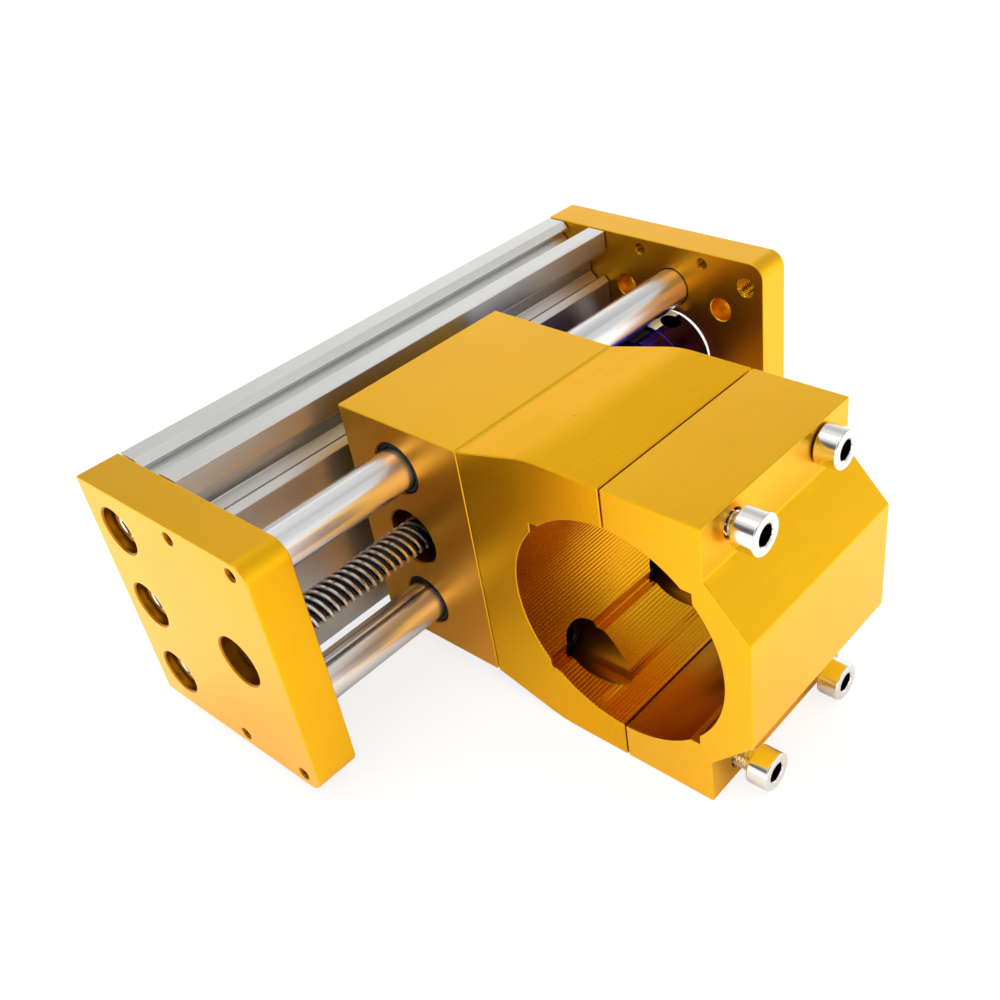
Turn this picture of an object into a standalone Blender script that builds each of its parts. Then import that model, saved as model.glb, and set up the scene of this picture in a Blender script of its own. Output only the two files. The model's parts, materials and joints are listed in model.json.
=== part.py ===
"""Linear Z-axis module with a split spindle clamp, lying on its long side.

Lengths are in metres. +X runs along the guide rods from the idle end to the motor end,
the clamp faces -Y, the slotted profile is at +Y and +Z is up. The origin is the middle of
the bounding box in X and Y, at the underside of the clamp.

Places are first given as three distances: along the rods from the idle plate's outer
face, forward from the flat back of the module, and across from its middle plane.
"""

import math

import bmesh
import bpy
from mathutils import Matrix, Vector

MM = 0.001

# Clearances between pieces
JOINT_GAP = 0.3 * MM
SEAT_GAP = 0.2 * MM
RUNNING_GAP = 0.2 * MM
EDGE_BREAK = 0.25 * MM
HOLE_BREAK = 0.35 * MM
SOCKET_BREAK = 0.15 * MM
OVERCUT = 1.0 * MM

# Slotted aluminium profile at the back
PROFILE_LENGTH = 137.0 * MM
PROFILE_WIDTH = 60.0 * MM
PROFILE_DEPTH = 20.0 * MM
SLOT_PITCH = 20.0 * MM
SLOT_MOUTH = 9.2 * MM
SLOT_THROAT = 6.2 * MM
SLOT_LIP = 2.1 * MM
SLOT_CAVITY = 11.0 * MM
SLOT_FLOOR = 5.6 * MM
SLOT_DEPTH = 6.1 * MM
CHAMBER_WIDTH = 5.0 * MM
CHAMBER_DEPTH = 11.0 * MM
CHAMBER_CORNER = 1.5 * MM

# End plates
PLATE_THICKNESS = 10.0 * MM
PLATE_WIDTH = 60.4 * MM
IDLE_PLATE_DEPTH = 56.5 * MM
MOTOR_PLATE_DEPTH = 70.0 * MM
PLATE_CORNER = 4.0 * MM

# Guide rods and lead screw share one plane in front of the profile
ROD_PLANE = 41.5 * MM
ROD_SPACING = 37.0 * MM
ROD_DIAMETER = 10.0 * MM
ROD_SOCKET_DEPTH = 7.0 * MM
SCREW_DIAMETER = 8.0 * MM
SCREW_END_INSET = 2.5 * MM

# Ball bearing of the lead screw in the idle plate
BEARING_WIDTH = 5.0 * MM
BEARING_INNER_WALL = 1.5 * MM
BEARING_RACE = 1.2 * MM
BEARING_OUTER_WALL = 1.3 * MM
BEARING_SHOULDER = 2.0 * MM
BEARING_BALL = 1.4 * MM
BEARING_BALLS = 9
BEARING_SHIELD = 0.5 * MM

# Carriage block
CARRIAGE_AT = 48.0 * MM
CARRIAGE_LENGTH = 50.0 * MM
CARRIAGE_WIDTH = 60.0 * MM
CARRIAGE_BACK = 26.0 * MM
CARRIAGE_FRONT = 62.0 * MM
SCREW_TUNNEL = 14.0 * MM
BUSH_WALL = 1.2 * MM
BUSH_LENGTH = 15.0 * MM
BUSH_INSET = 0.4 * MM
NUT_FLANGE_MARGIN = 3.0 * MM
NUT_FLANGE_THICKNESS = 3.5 * MM
NUT_WALL = 1.1 * MM
NUT_LENGTH = 15.0 * MM
NUT_HUB_LENGTH = 1.5 * MM
NUT_RECESS_DEPTH = 6.6 * MM
NUT_SCREW_LENGTH = 10.0 * MM

# Split clamp
BORE_DIAMETER = 52.0 * MM
BORE_BACK_WALL = 11.5 * MM
BORE_SIDE_WALL = 9.0 * MM
BORE_FRONT_WALL = 6.1 * MM
SPLIT_GAP = 0.4 * MM
FLANK_RUN = 19.0 * MM
FLANK_RADIUS = 30.0 * MM
RELIEF_REACH = 1.58 * MM
SEAT_FORWARD = 22.2 * MM
SEAT_WIDTH = 11.4 * MM
SEAT_FILLET = 1.2 * MM
FRONT_SLOPE_WIDTH = 10.5 * MM
CLAMP_SCREW_SPACING = 30.0 * MM
CLAMP_SCREW_WALL = 4.0 * MM
CLAMP_SCREW_GRIP = 9.0 * MM
CLAMP_SCREW_STAND_OFF = {
    "near_upper": 1.5 * MM,
    "far_upper": 0.0 * MM,
    "near_lower": 3.6 * MM,
    "far_lower": 2.3 * MM,
}
MOUNT_SCREW_SPACING_X = 30.0 * MM
MOUNT_SCREW_SPACING_Z = 40.0 * MM
MOUNT_SCREW_WALL = 9.0 * MM
MOUNT_SCREW_REACH = 11.0 * MM

# Coupling between the lead screw and the motor shaft
COUPLING_DIAMETER = 25.0 * MM
COUPLING_LENGTH = 30.0 * MM
COUPLING_END_GAP = 1.5 * MM
COUPLING_HUB = 11.0 * MM
COUPLING_JAW = 7.0 * MM
COUPLING_JAW_COUNT = 3
COUPLING_JAW_BORE = 11.0 * MM
COUPLING_JAW_STEP = 0.1 * MM
COUPLING_JAW_HALF_ANGLE = math.radians(17)
SPIDER_BORE = 6.0 * MM
SET_SCREW_INSET = 4.3 * MM
SET_SCREW_TILT = math.radians(16)
MOTOR_SHAFT = 5.0 * MM

# Holes in the end plates
PROFILE_SCREW_FORWARD = 10.0 * MM
ACCESSORY_HOLE_PITCH = 20.0 * MM
ACCESSORY_HOLE_SPACING = 54.0 * MM
ACCESSORY_HOLE = 2.9 * MM
MOTOR_PILOT = 23.0 * MM
MOTOR_HOLE_SPACING = 31.0 * MM
MOTOR_HOLE = 3.4 * MM
MOTOR_COUNTERBORE = 6.2 * MM
MOTOR_COUNTERBORE_DEPTH = 4.0 * MM
CORNER_THREAD_FORWARD = 65.0 * MM
CORNER_THREAD_ACROSS = 23.5 * MM
CORNER_THREAD = 4.6 * MM

# Fasteners: shank, head width, head height, hex key, key depth
M3_LOW = {"shank": 3.0 * MM, "head": 5.5 * MM, "height": 2.0 * MM, "key": 2.0 * MM, "key_depth": 1.1 * MM}
M5 = {"shank": 5.0 * MM, "head": 8.5 * MM, "height": 5.0 * MM, "key": 4.0 * MM, "key_depth": 2.6 * MM}
SET_SCREW = {"shank": 5.0 * MM, "key": 2.5 * MM, "key_depth": 2.5 * MM}
SET_SCREW_LENGTH = 6.0 * MM
PROFILE_COUNTERBORE = 11.0 * MM
PROFILE_COUNTERBORE_DEPTH = 7.2 * MM
PROFILE_SCREW_LENGTH = 14.0 * MM
MOUNT_COUNTERBORE = 10.5 * MM

# Facets around round pieces
FINE = 36
ROUND = 20
SMALL = 12
TINY = 10
ARC_STEP = math.radians(7.5)

# Places that follow from the sizes
TOTAL_LENGTH = PROFILE_LENGTH + 2 * (PLATE_THICKNESS + JOINT_GAP)
MOTOR_PLATE_AT = TOTAL_LENGTH - PLATE_THICKNESS
BEARING_INNER_RING = SCREW_DIAMETER + 2 * BEARING_INNER_WALL
BEARING_OUTER_RING = BEARING_INNER_RING + 2 * BEARING_RACE
BEARING_OUTER = BEARING_OUTER_RING + 2 * BEARING_OUTER_WALL
BUSH_OUTER = ROD_DIAMETER + 2 * BUSH_WALL
NUT_BODY = SCREW_DIAMETER + 2 * NUT_WALL
NUT_SCREW_CIRCLE = NUT_BODY + M3_LOW["head"] + JOINT_GAP
NUT_FLANGE = NUT_SCREW_CIRCLE + 2 * NUT_FLANGE_MARGIN
BORE_RADIUS = BORE_DIAMETER / 2
BORE_CENTRE = CARRIAGE_FRONT + BORE_BACK_WALL + BORE_RADIUS
RELIEF_CORNER = (BORE_RADIUS + RELIEF_REACH) / math.sqrt(2)
JAW_WIDTH = BORE_DIAMETER + 2 * BORE_SIDE_WALL
JAW_FRONT = BORE_CENTRE + BORE_RADIUS + BORE_FRONT_WALL
JAW_SEAT = BORE_CENTRE + SEAT_FORWARD
CLAMP_SCREW_ACROSS = BORE_RADIUS + CLAMP_SCREW_WALL
MOUNT_SCREW_SEAT = CARRIAGE_FRONT + MOUNT_SCREW_WALL
CARRIAGE_END = CARRIAGE_AT + CARRIAGE_LENGTH
CARRIAGE_MIDDLE = CARRIAGE_AT + CARRIAGE_LENGTH / 2
COUPLING_END = MOTOR_PLATE_AT - COUPLING_END_GAP
COUPLING_AT = COUPLING_END - COUPLING_LENGTH
X_START = -TOTAL_LENGTH / 2
Y_BACK = JAW_FRONT / 2
Z_MIDDLE = JAW_WIDTH / 2
ALONG = Vector((1, 0, 0))
FORWARD = Vector((0, -1, 0))
ACROSS = Vector((0, 0, 1))

GOLD = (0.80, 0.49, 0.04)
ALUMINIUM = (0.66, 0.66, 0.64)
POLISHED_STEEL = (0.74, 0.74, 0.74)
NICKEL = (0.70, 0.69, 0.67)
DARK_STEEL = (0.16, 0.15, 0.14)
BRASS = (0.72, 0.53, 0.22)
BLACK_POLYMER = (0.02, 0.02, 0.022)
BLUE_ANODISED = (0.03, 0.02, 0.22)


def at(along, forward, across=0.0):
    """World point for a place given along the rods, forward of the back and across."""
    return Vector((X_START + along, Y_BACK - forward, Z_MIDDLE + across))


def clear_scene():
    """Remove every object that the scene holds."""
    for thing in list(bpy.data.objects):
        bpy.data.objects.remove(thing, do_unlink=True)


def finish(name, colour, roughness, metallic):
    """Make a plain metal or polymer material for one piece."""
    material = bpy.data.materials.new(name)
    material.use_nodes = True
    shader = material.node_tree.nodes["Principled BSDF"]
    shader.inputs["Base Color"].default_value = (*colour, 1.0)
    shader.inputs["Roughness"].default_value = roughness
    shader.inputs["Metallic"].default_value = metallic
    material.diffuse_color = (*colour, 1.0)
    return material


def gold_finish(name):
    return finish(name, GOLD, 0.35, 1.0)


def add_object(name, shape, smooth=True):
    """Turn a bmesh into an object of the scene, with its normals pointing out."""
    bmesh.ops.recalc_face_normals(shape, faces=shape.faces)
    mesh = bpy.data.meshes.new(name)
    shape.to_mesh(mesh)
    shape.free()
    if smooth:
        mesh.shade_smooth()
        mesh.set_sharp_from_angle(angle=math.radians(30))
    piece = bpy.data.objects.new(name, mesh)
    bpy.context.scene.collection.objects.link(piece)
    return piece


def prism(name, outline, start, end, smooth=True):
    """Extrude an outline of (forward, across) points along the rods, from start to end."""
    shape = bmesh.new()
    rim = [shape.verts.new(at(start, forward, across)) for forward, across in outline]
    cap = shape.faces.new(rim)
    swept = bmesh.ops.extrude_face_region(shape, geom=[cap])
    moved = [item for item in swept["geom"] if isinstance(item, bmesh.types.BMVert)]
    bmesh.ops.translate(shape, verts=moved, vec=ALONG * (end - start))
    return add_object(name, shape, smooth)


def frame_of(direction):
    """Two unit vectors square to a direction, for drawing circles around it."""
    helper = ACROSS if abs(direction.dot(ACROSS)) < 0.9 else ALONG
    side = direction.cross(helper).normalized()
    return side, direction.cross(side).normalized()


def turned(name, outline, centre, direction, facets=ROUND, turn=0.0):
    """Revolve (along, radius) points about an axis; an outline that starts and ends on the
    axis is solid, any other is closed into a ring."""
    shape = bmesh.new()
    side, _ = frame_of(direction)
    side = Matrix.Rotation(turn, 3, direction) @ side
    points = [shape.verts.new(centre + direction * step + side * radius) for step, radius in outline]
    edges = [shape.edges.new(pair) for pair in zip(points, points[1:])]
    solid = outline[0][1] == 0.0 and outline[-1][1] == 0.0
    if not solid:
        edges.append(shape.edges.new((points[-1], points[0])))
    bmesh.ops.spin(shape, geom=points + edges, cent=centre, axis=direction,
                   angle=math.tau, steps=facets, use_merge=True)
    bmesh.ops.remove_doubles(shape, verts=shape.verts, dist=1e-7)
    return add_object(name, shape)


def plug(name, centre, direction, radius, length, facets=SMALL, turn=0.0):
    """A plain cylinder that starts at centre and runs along direction."""
    outline = [(0.0, 0.0), (0.0, radius), (length, radius), (length, 0.0)]
    return turned(name, outline, centre, direction, facets, turn)


def bevel(piece, width=EDGE_BREAK):
    """Break the sharp edges of a block."""
    edge = piece.modifiers.new("edge_break", "BEVEL")
    edge.width = width
    edge.segments = 1
    edge.limit_method = "ANGLE"
    edge.angle_limit = math.radians(35)


def cut(piece, cutter):
    """Take a cutter's volume out of a piece."""
    cutter.hide_render = True
    cutter.display_type = "WIRE"
    tool = piece.modifiers.new(cutter.name, "BOOLEAN")
    tool.operation = "DIFFERENCE"
    tool.solver = "EXACT"
    tool.object = cutter


def join(piece, other):
    """Add another shape's volume to a piece."""
    other.hide_render = True
    other.display_type = "WIRE"
    tool = piece.modifiers.new(other.name, "BOOLEAN")
    tool.operation = "UNION"
    tool.solver = "EXACT"
    tool.object = other


def drill(piece, mouth, direction, diameter, depth, facets=SMALL, rim=HOLE_BREAK):
    """Drill a blind hole from a flat face, with its rim broken."""
    radius = diameter / 2
    outline = [(-OVERCUT, 0.0), (-OVERCUT, radius + rim), (0.0, radius + rim),
               (rim, radius), (depth, radius), (depth, 0.0)]
    name = f"{piece.name}_drill_{len(piece.modifiers)}"
    cut(piece, turned(name, outline, mouth, direction, facets))


def drill_through(piece, mouth, direction, diameter, thickness, facets=SMALL, rim=HOLE_BREAK):
    """Drill right through a plate, with the rim broken on both its faces."""
    radius = diameter / 2
    outline = [(-OVERCUT, 0.0), (-OVERCUT, radius + rim), (0.0, radius + rim), (rim, radius),
               (thickness - rim, radius), (thickness, radius + rim),
               (thickness + OVERCUT, radius + rim), (thickness + OVERCUT, 0.0)]
    name = f"{piece.name}_hole_{len(piece.modifiers)}"
    cut(piece, turned(name, outline, mouth, direction, facets))


def counterbore(piece, mouth, direction, wide, wide_depth, narrow, depth, facets=ROUND):
    """Drill a stepped hole: wide for a screw's head, then narrow for its shank."""
    outline = [(-OVERCUT, 0.0), (-OVERCUT, wide / 2), (wide_depth, wide / 2),
               (wide_depth, narrow / 2), (depth, narrow / 2), (depth, 0.0)]
    name = f"{piece.name}_counterbore_{len(piece.modifiers)}"
    cut(piece, turned(name, outline, mouth, direction, facets))


def cut_hex(screw, top, direction, size):
    """Cut the hexagon socket into the top of a screw."""
    radius = size["key"] / 2 / math.cos(math.pi / 6)
    depth = size["key_depth"] + OVERCUT
    cut(screw, plug(f"{screw.name}_hex", top - direction * OVERCUT, direction, radius, depth, 6))


def cap_screw(name, seat, direction, size, length, colour=NICKEL):
    """A socket head screw whose head rests on seat and whose shank runs along direction."""
    head = size["head"] / 2
    shank = size["shank"] / 2
    height = size["height"]
    chamfer = 2 * EDGE_BREAK
    outline = [(-height, 0.0), (-height, head - chamfer), (-height + chamfer, head),
               (0.0, head), (0.0, shank), (length - chamfer, shank),
               (length, shank - chamfer), (length, 0.0)]
    screw = turned(name, outline, seat, direction, SMALL)
    cut_hex(screw, seat - direction * height, direction, size)
    screw.data.materials.append(finish(name, colour, 0.22, 1.0))
    return screw


def set_screw(name, top, direction, size, length):
    """A headless screw that runs from top along direction."""
    shank, chamfer = size["shank"] / 2, 2 * EDGE_BREAK
    outline = [(0.0, 0.0), (0.0, shank), (length - chamfer, shank), (length, shank - chamfer), (length, 0.0)]
    screw = turned(name, outline, top, direction, SMALL)
    cut_hex(screw, top, direction, size)
    screw.data.materials.append(finish(name, DARK_STEEL, 0.3, 1.0))
    return screw


def carry(joint, *pieces):
    """Parent pieces to a joint's empty without moving them."""
    for piece in pieces:
        if joint.location.length > 0:
            piece.data.transform(Matrix.Translation(-joint.location))
        piece.parent = joint


def carry_cutters(joint, *pieces):
    """Parent the pieces that cut a carried piece, so that they stay in place on it."""
    for piece in pieces:
        for tool in piece.modifiers:
            if tool.type == "BOOLEAN" and tool.object.parent is None:
                carry(joint, tool.object)


def joint_empty(name, place):
    """An empty that marks a joint's axis."""
    empty = bpy.data.objects.new(name, None)
    empty.empty_display_size = 10 * MM
    empty.location = place
    bpy.context.scene.collection.objects.link(empty)
    return empty


def slot_outline():
    """One slot as (sideways, depth) points, from one side of its mouth to the other."""
    mouth, throat = SLOT_MOUTH / 2, SLOT_THROAT / 2
    cavity, floor = SLOT_CAVITY / 2, SLOT_FLOOR / 2
    chamfer = mouth - throat
    knee = SLOT_DEPTH - (cavity - floor)
    half = [(mouth, 0.0), (throat, chamfer), (throat, SLOT_LIP), (cavity, SLOT_LIP),
            (cavity, knee), (floor, SLOT_DEPTH)]
    return [(-side, depth) for side, depth in half] + [(side, depth) for side, depth in reversed(half)]


def profile_outline():
    """Cross-section of the slotted profile: slots on both wide faces and both edges."""
    half = PROFILE_WIDTH / 2
    slot = slot_outline()
    centres = (-SLOT_PITCH, 0.0, SLOT_PITCH)
    outline = [(0.0, -half)]
    for centre in centres:
        outline += [(depth, centre + side) for side, depth in slot]
    outline.append((0.0, half))
    outline += [(PROFILE_DEPTH / 2 + side, half - depth) for side, depth in slot]
    outline.append((PROFILE_DEPTH, half))
    for centre in reversed(centres):
        outline += [(PROFILE_DEPTH - depth, centre - side) for side, depth in slot]
    outline.append((PROFILE_DEPTH, -half))
    outline += [(PROFILE_DEPTH / 2 - side, -half + depth) for side, depth in slot]
    return outline


def make_back_profile():
    """The extruded backbone, with a tapped core in each cell and a chamber between cells."""
    start = PLATE_THICKNESS + JOINT_GAP
    end = start + PROFILE_LENGTH
    profile = prism("back_profile", profile_outline(), start, end, smooth=False)
    for number, across in enumerate((-SLOT_PITCH, 0.0, SLOT_PITCH)):
        core = plug(f"profile_core_{number}", at(start - OVERCUT, PROFILE_DEPTH / 2, across), ALONG,
                    M5["shank"] / 2 + SEAT_GAP, PROFILE_LENGTH + 2 * OVERCUT)
        cut(profile, core)
    for number, across in enumerate((-SLOT_PITCH / 2, SLOT_PITCH / 2)):
        wide, deep, corner = CHAMBER_WIDTH / 2, CHAMBER_DEPTH / 2, CHAMBER_CORNER
        quarter = [(deep, wide - corner), (deep - corner, wide)]
        outline = quarter + [(-f, s) for f, s in reversed(quarter)]
        outline += [(-f, -s) for f, s in quarter] + [(f, -s) for f, s in reversed(quarter)]
        outline = [(PROFILE_DEPTH / 2 + f, across + s) for f, s in outline]
        chamber = prism(f"profile_chamber_{number}", outline, start - OVERCUT, end + OVERCUT, smooth=False)
        cut(profile, chamber)
    profile.data.materials.append(finish("back_profile", ALUMINIUM, 0.38, 1.0))
    return profile


def plate_outline(depth):
    """An end plate: square at the back, rounded at its two front corners."""
    half = PLATE_WIDTH / 2
    centre_forward, centre_across = depth - PLATE_CORNER, half - PLATE_CORNER
    steps = 6
    corner = []
    for step in range(steps + 1):
        angle = math.radians(90) * step / steps
        corner.append((centre_forward + PLATE_CORNER * math.sin(angle),
                       centre_across + PLATE_CORNER * math.cos(angle)))
    lower = [(forward, -across) for forward, across in reversed(corner)]
    return [(0.0, half)] + corner + lower + [(0.0, -half)]


def rod_places():
    """Across position of each guide rod, by name."""
    return {"upper": ROD_SPACING / 2, "lower": -ROD_SPACING / 2}


def make_end_plate(name, start, depth, outward):
    """What both end plates share: outline, rod sockets, profile screw holes, small holes."""
    plate = prism(name, plate_outline(depth), start, start + PLATE_THICKNESS)
    bevel(plate)
    outer = start if outward.x < 0 else start + PLATE_THICKNESS
    inner = start + PLATE_THICKNESS if outward.x < 0 else start
    for across in rod_places().values():
        drill(plate, at(inner, ROD_PLANE, across), outward, ROD_DIAMETER + 2 * SEAT_GAP,
              ROD_SOCKET_DEPTH, ROUND, SOCKET_BREAK)
    for across in (-SLOT_PITCH, 0.0, SLOT_PITCH):
        counterbore(plate, at(outer, PROFILE_SCREW_FORWARD, across), -outward, PROFILE_COUNTERBORE,
                    PROFILE_COUNTERBORE_DEPTH, M5["shank"] + 2 * JOINT_GAP, PLATE_THICKNESS + OVERCUT)
    for forward in (-ACCESSORY_HOLE_PITCH / 2, ACCESSORY_HOLE_PITCH / 2):
        for across in (-ACCESSORY_HOLE_SPACING / 2, ACCESSORY_HOLE_SPACING / 2):
            mouth = at(inner, ROD_PLANE + forward, across)
            drill_through(plate, mouth, outward, ACCESSORY_HOLE, PLATE_THICKNESS, TINY)
    plate.data.materials.append(gold_finish(name))
    return plate


def make_idle_plate():
    """The plate at the free end, with the bearing seat of the lead screw."""
    plate = make_end_plate("idle_end_plate", 0.0, IDLE_PLATE_DEPTH, -ALONG)
    seat_depth = BEARING_WIDTH + JOINT_GAP
    counterbore(plate, at(PLATE_THICKNESS, ROD_PLANE), -ALONG, BEARING_OUTER + 2 * SEAT_GAP,
                seat_depth, BEARING_OUTER - 2 * BEARING_SHOULDER, PLATE_THICKNESS + OVERCUT)
    return plate


def make_motor_plate():
    """The deeper plate that carries the motor, with its pilot hole and screw pattern."""
    plate = make_end_plate("motor_plate", MOTOR_PLATE_AT, MOTOR_PLATE_DEPTH, ALONG)
    drill_through(plate, at(MOTOR_PLATE_AT, ROD_PLANE), ALONG, MOTOR_PILOT, PLATE_THICKNESS, FINE)
    half = MOTOR_HOLE_SPACING / 2
    for forward in (-half, half):
        for across in (-half, half):
            counterbore(plate, at(MOTOR_PLATE_AT, ROD_PLANE + forward, across), ALONG, MOTOR_COUNTERBORE,
                        MOTOR_COUNTERBORE_DEPTH, MOTOR_HOLE, PLATE_THICKNESS + OVERCUT, SMALL)
    for across in (-CORNER_THREAD_ACROSS, CORNER_THREAD_ACROSS):
        mouth = at(MOTOR_PLATE_AT, CORNER_THREAD_FORWARD, across)
        drill_through(plate, mouth, ALONG, CORNER_THREAD, PLATE_THICKNESS)
    return plate


def make_guide_rods():
    """Two ground rods that end in blind sockets in the plates."""
    rods = []
    start = PLATE_THICKNESS - ROD_SOCKET_DEPTH + JOINT_GAP
    length = TOTAL_LENGTH - 2 * start
    radius, break_edge = ROD_DIAMETER / 2, 2 * EDGE_BREAK
    outline = [(0.0, 0.0), (0.0, radius - break_edge), (break_edge, radius),
               (length - break_edge, radius), (length, radius - break_edge), (length, 0.0)]
    for place, across in rod_places().items():
        rod = turned(f"guide_rod_{place}", outline, at(start, ROD_PLANE, across), ALONG, ROUND)
        rod.data.materials.append(finish(rod.name, POLISHED_STEEL, 0.08, 1.0))
        rods.append(rod)
    return rods


def make_profile_screws():
    """Three screws through each end plate into the cores of the profile."""
    screws = []
    ends = {"idle": (PROFILE_COUNTERBORE_DEPTH, ALONG),
            "motor": (TOTAL_LENGTH - PROFILE_COUNTERBORE_DEPTH, -ALONG)}
    for end, (seat, direction) in ends.items():
        for number, across in enumerate((SLOT_PITCH, 0.0, -SLOT_PITCH), start=1):
            place = at(seat, PROFILE_SCREW_FORWARD, across) - direction * JOINT_GAP
            screws.append(cap_screw(f"profile_screw_{end}_{number}", place, direction, M5,
                                    PROFILE_SCREW_LENGTH))
    return screws


def make_bearing():
    """The shielded ball bearing in the idle plate: outer ring, inner ring and caged balls."""
    start = at(PLATE_THICKNESS - BEARING_WIDTH, ROD_PLANE)
    width, shield = BEARING_WIDTH, BEARING_SHIELD
    bore = SCREW_DIAMETER / 2 + RUNNING_GAP
    inner, outer, rim = BEARING_INNER_RING / 2, BEARING_OUTER_RING / 2, BEARING_OUTER / 2
    lip = inner + RUNNING_GAP
    outer_ring = turned("bearing_outer_ring", [
        (0.0, rim), (width, rim), (width, lip), (width - shield, lip), (width - shield, outer),
        (shield, outer), (shield, lip), (0.0, lip)], start, ALONG, ROUND)
    inner_ring = turned("bearing_inner_ring", [
        (0.0, bore), (width, bore), (width, inner), (0.0, inner)], start, ALONG, ROUND)
    middle = start + ALONG * width / 2
    pitch = (inner + outer) / 2
    room = (outer - inner) / 2 - RUNNING_GAP
    cage = turned("bearing_balls", [
        (-room / 2, pitch - room / 4), (room / 2, pitch - room / 4),
        (room / 2, pitch + room / 4), (-room / 2, pitch + room / 4)], middle, ALONG, ROUND)
    side, up = frame_of(ALONG)
    for number in range(BEARING_BALLS):
        angle = math.tau * number / BEARING_BALLS
        ball = bmesh.new()
        centre = middle + (side * math.cos(angle) + up * math.sin(angle)) * pitch
        bmesh.ops.create_icosphere(ball, subdivisions=1, radius=min(BEARING_BALL / 2, room),
                                   matrix=Matrix.Translation(centre))
        join(cage, add_object(f"bearing_ball_{number}", ball))
    for ring in (outer_ring, inner_ring, cage):
        ring.data.materials.append(finish(ring.name, POLISHED_STEEL, 0.25, 1.0))
    return outer_ring, inner_ring, cage


def make_carriage_block():
    """The block that runs on both rods, bored for its bushes, the screw and the nut."""
    half = CARRIAGE_WIDTH / 2
    outline = [(CARRIAGE_BACK, -half), (CARRIAGE_FRONT, -half), (CARRIAGE_FRONT, half), (CARRIAGE_BACK, half)]
    block = prism("carriage_block", outline, CARRIAGE_AT, CARRIAGE_END, smooth=False)
    bevel(block)
    for across in rod_places().values():
        mouth = at(CARRIAGE_AT, ROD_PLANE, across)
        drill_through(block, mouth, ALONG, BUSH_OUTER + SEAT_GAP, CARRIAGE_LENGTH, ROUND)
    counterbore(block, at(CARRIAGE_END, ROD_PLANE), -ALONG, NUT_FLANGE + 2 * JOINT_GAP,
                NUT_RECESS_DEPTH, SCREW_TUNNEL, CARRIAGE_LENGTH + OVERCUT)
    for number, centre in enumerate(nut_screw_centres(), start=1):
        mouth = centre + ALONG * (CARRIAGE_LENGTH / 2 - NUT_RECESS_DEPTH + OVERCUT)
        hole = plug(f"nut_thread_{number}", mouth, -ALONG, M3_LOW["shank"] / 2 + SEAT_GAP,
                    NUT_SCREW_LENGTH + OVERCUT, TINY)
        cut(block, hole)
    for across, x in mount_screw_places():
        mouth = at(x, CARRIAGE_FRONT, across)
        drill(block, mouth, -FORWARD, M5["shank"] + 2 * SEAT_GAP, MOUNT_SCREW_REACH + JOINT_GAP)
    block.data.materials.append(gold_finish("carriage_block"))
    return block


def nut_screw_centres():
    """Centres of the four nut screws, in the middle plane of the carriage."""
    side, up = frame_of(ALONG)
    centre = at(CARRIAGE_MIDDLE, ROD_PLANE)
    radius = NUT_SCREW_CIRCLE / 2
    return [centre + (side * math.cos(angle) + up * math.sin(angle)) * radius
            for angle in (math.radians(45 + 90 * quarter) for quarter in range(4))]


def make_bushes():
    """A plain bush at each end of each rod bore in the carriage."""
    bushes = []
    inner, outer = ROD_DIAMETER / 2 + RUNNING_GAP, BUSH_OUTER / 2 - SEAT_GAP / 2
    starts = {"near": CARRIAGE_AT + BUSH_INSET, "far": CARRIAGE_END - BUSH_INSET - BUSH_LENGTH}
    outline = [(0.0, inner), (BUSH_LENGTH, inner), (BUSH_LENGTH, outer), (0.0, outer)]
    for place, across in rod_places().items():
        for end, start in starts.items():
            bush = turned(f"rod_bush_{place}_{end}", outline, at(start, ROD_PLANE, across), ALONG, ROUND)
            bush.data.materials.append(finish(bush.name, BLACK_POLYMER, 0.45, 0.0))
            bushes.append(bush)
    return bushes


def make_lead_nut():
    """The flanged brass nut, its flange let into the far face of the carriage."""
    seat = CARRIAGE_END - NUT_RECESS_DEPTH + JOINT_GAP
    bore, body, flange = SCREW_DIAMETER / 2 + RUNNING_GAP, NUT_BODY / 2, NUT_FLANGE / 2
    hub, thick = NUT_HUB_LENGTH, NUT_FLANGE_THICKNESS
    outline = [(thick + hub, bore), (thick + hub, body), (thick, body), (thick, flange), (0.0, flange),
               (0.0, body), (thick + hub - NUT_LENGTH, body), (thick + hub - NUT_LENGTH, bore)]
    nut = turned("lead_nut", outline, at(seat, ROD_PLANE), ALONG, ROUND)
    screws = []
    for number, centre in enumerate(nut_screw_centres(), start=1):
        outer_face = Vector((at(seat + thick, 0).x, centre.y, centre.z))
        hole = plug(f"nut_hole_{number}", outer_face + ALONG * OVERCUT, -ALONG,
                    M3_LOW["shank"] / 2 + SEAT_GAP, thick + 2 * OVERCUT, TINY)
        cut(nut, hole)
        screws.append(cap_screw(f"nut_screw_{number}", outer_face + ALONG * SEAT_GAP, -ALONG,
                                M3_LOW, NUT_SCREW_LENGTH))
    nut.data.materials.append(finish("lead_nut", BRASS, 0.3, 1.0))
    return nut, screws


def bore_arc(first, last):
    """Points of the clamp bore between two angles, with the corner reliefs of a square.
    Angle 0 points forward and 90 degrees points up."""
    reach = math.asin(RELIEF_CORNER / BORE_RADIUS)
    count = max(2, round(abs(last - first) / ARC_STEP))
    points = []
    for step in range(count + 1):
        angle = first + (last - first) * step / count
        quarter = angle % (math.pi / 2)
        in_relief = math.pi / 2 - reach <= quarter <= reach
        if not in_relief:
            points.append((angle, BORE_RADIUS))
    for diagonal in (math.pi / 4 * odd for odd in (-3, -1, 1, 3, 5)):
        if min(first, last) < diagonal < max(first, last):
            offset = reach - math.pi / 4
            points.append((diagonal - offset, BORE_RADIUS))
            points.append((diagonal, BORE_RADIUS + RELIEF_REACH))
            points.append((diagonal + offset, BORE_RADIUS))
    points.sort(reverse=last < first)
    return [(BORE_CENTRE + radius * math.cos(angle), radius * math.sin(angle)) for angle, radius in points]


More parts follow.
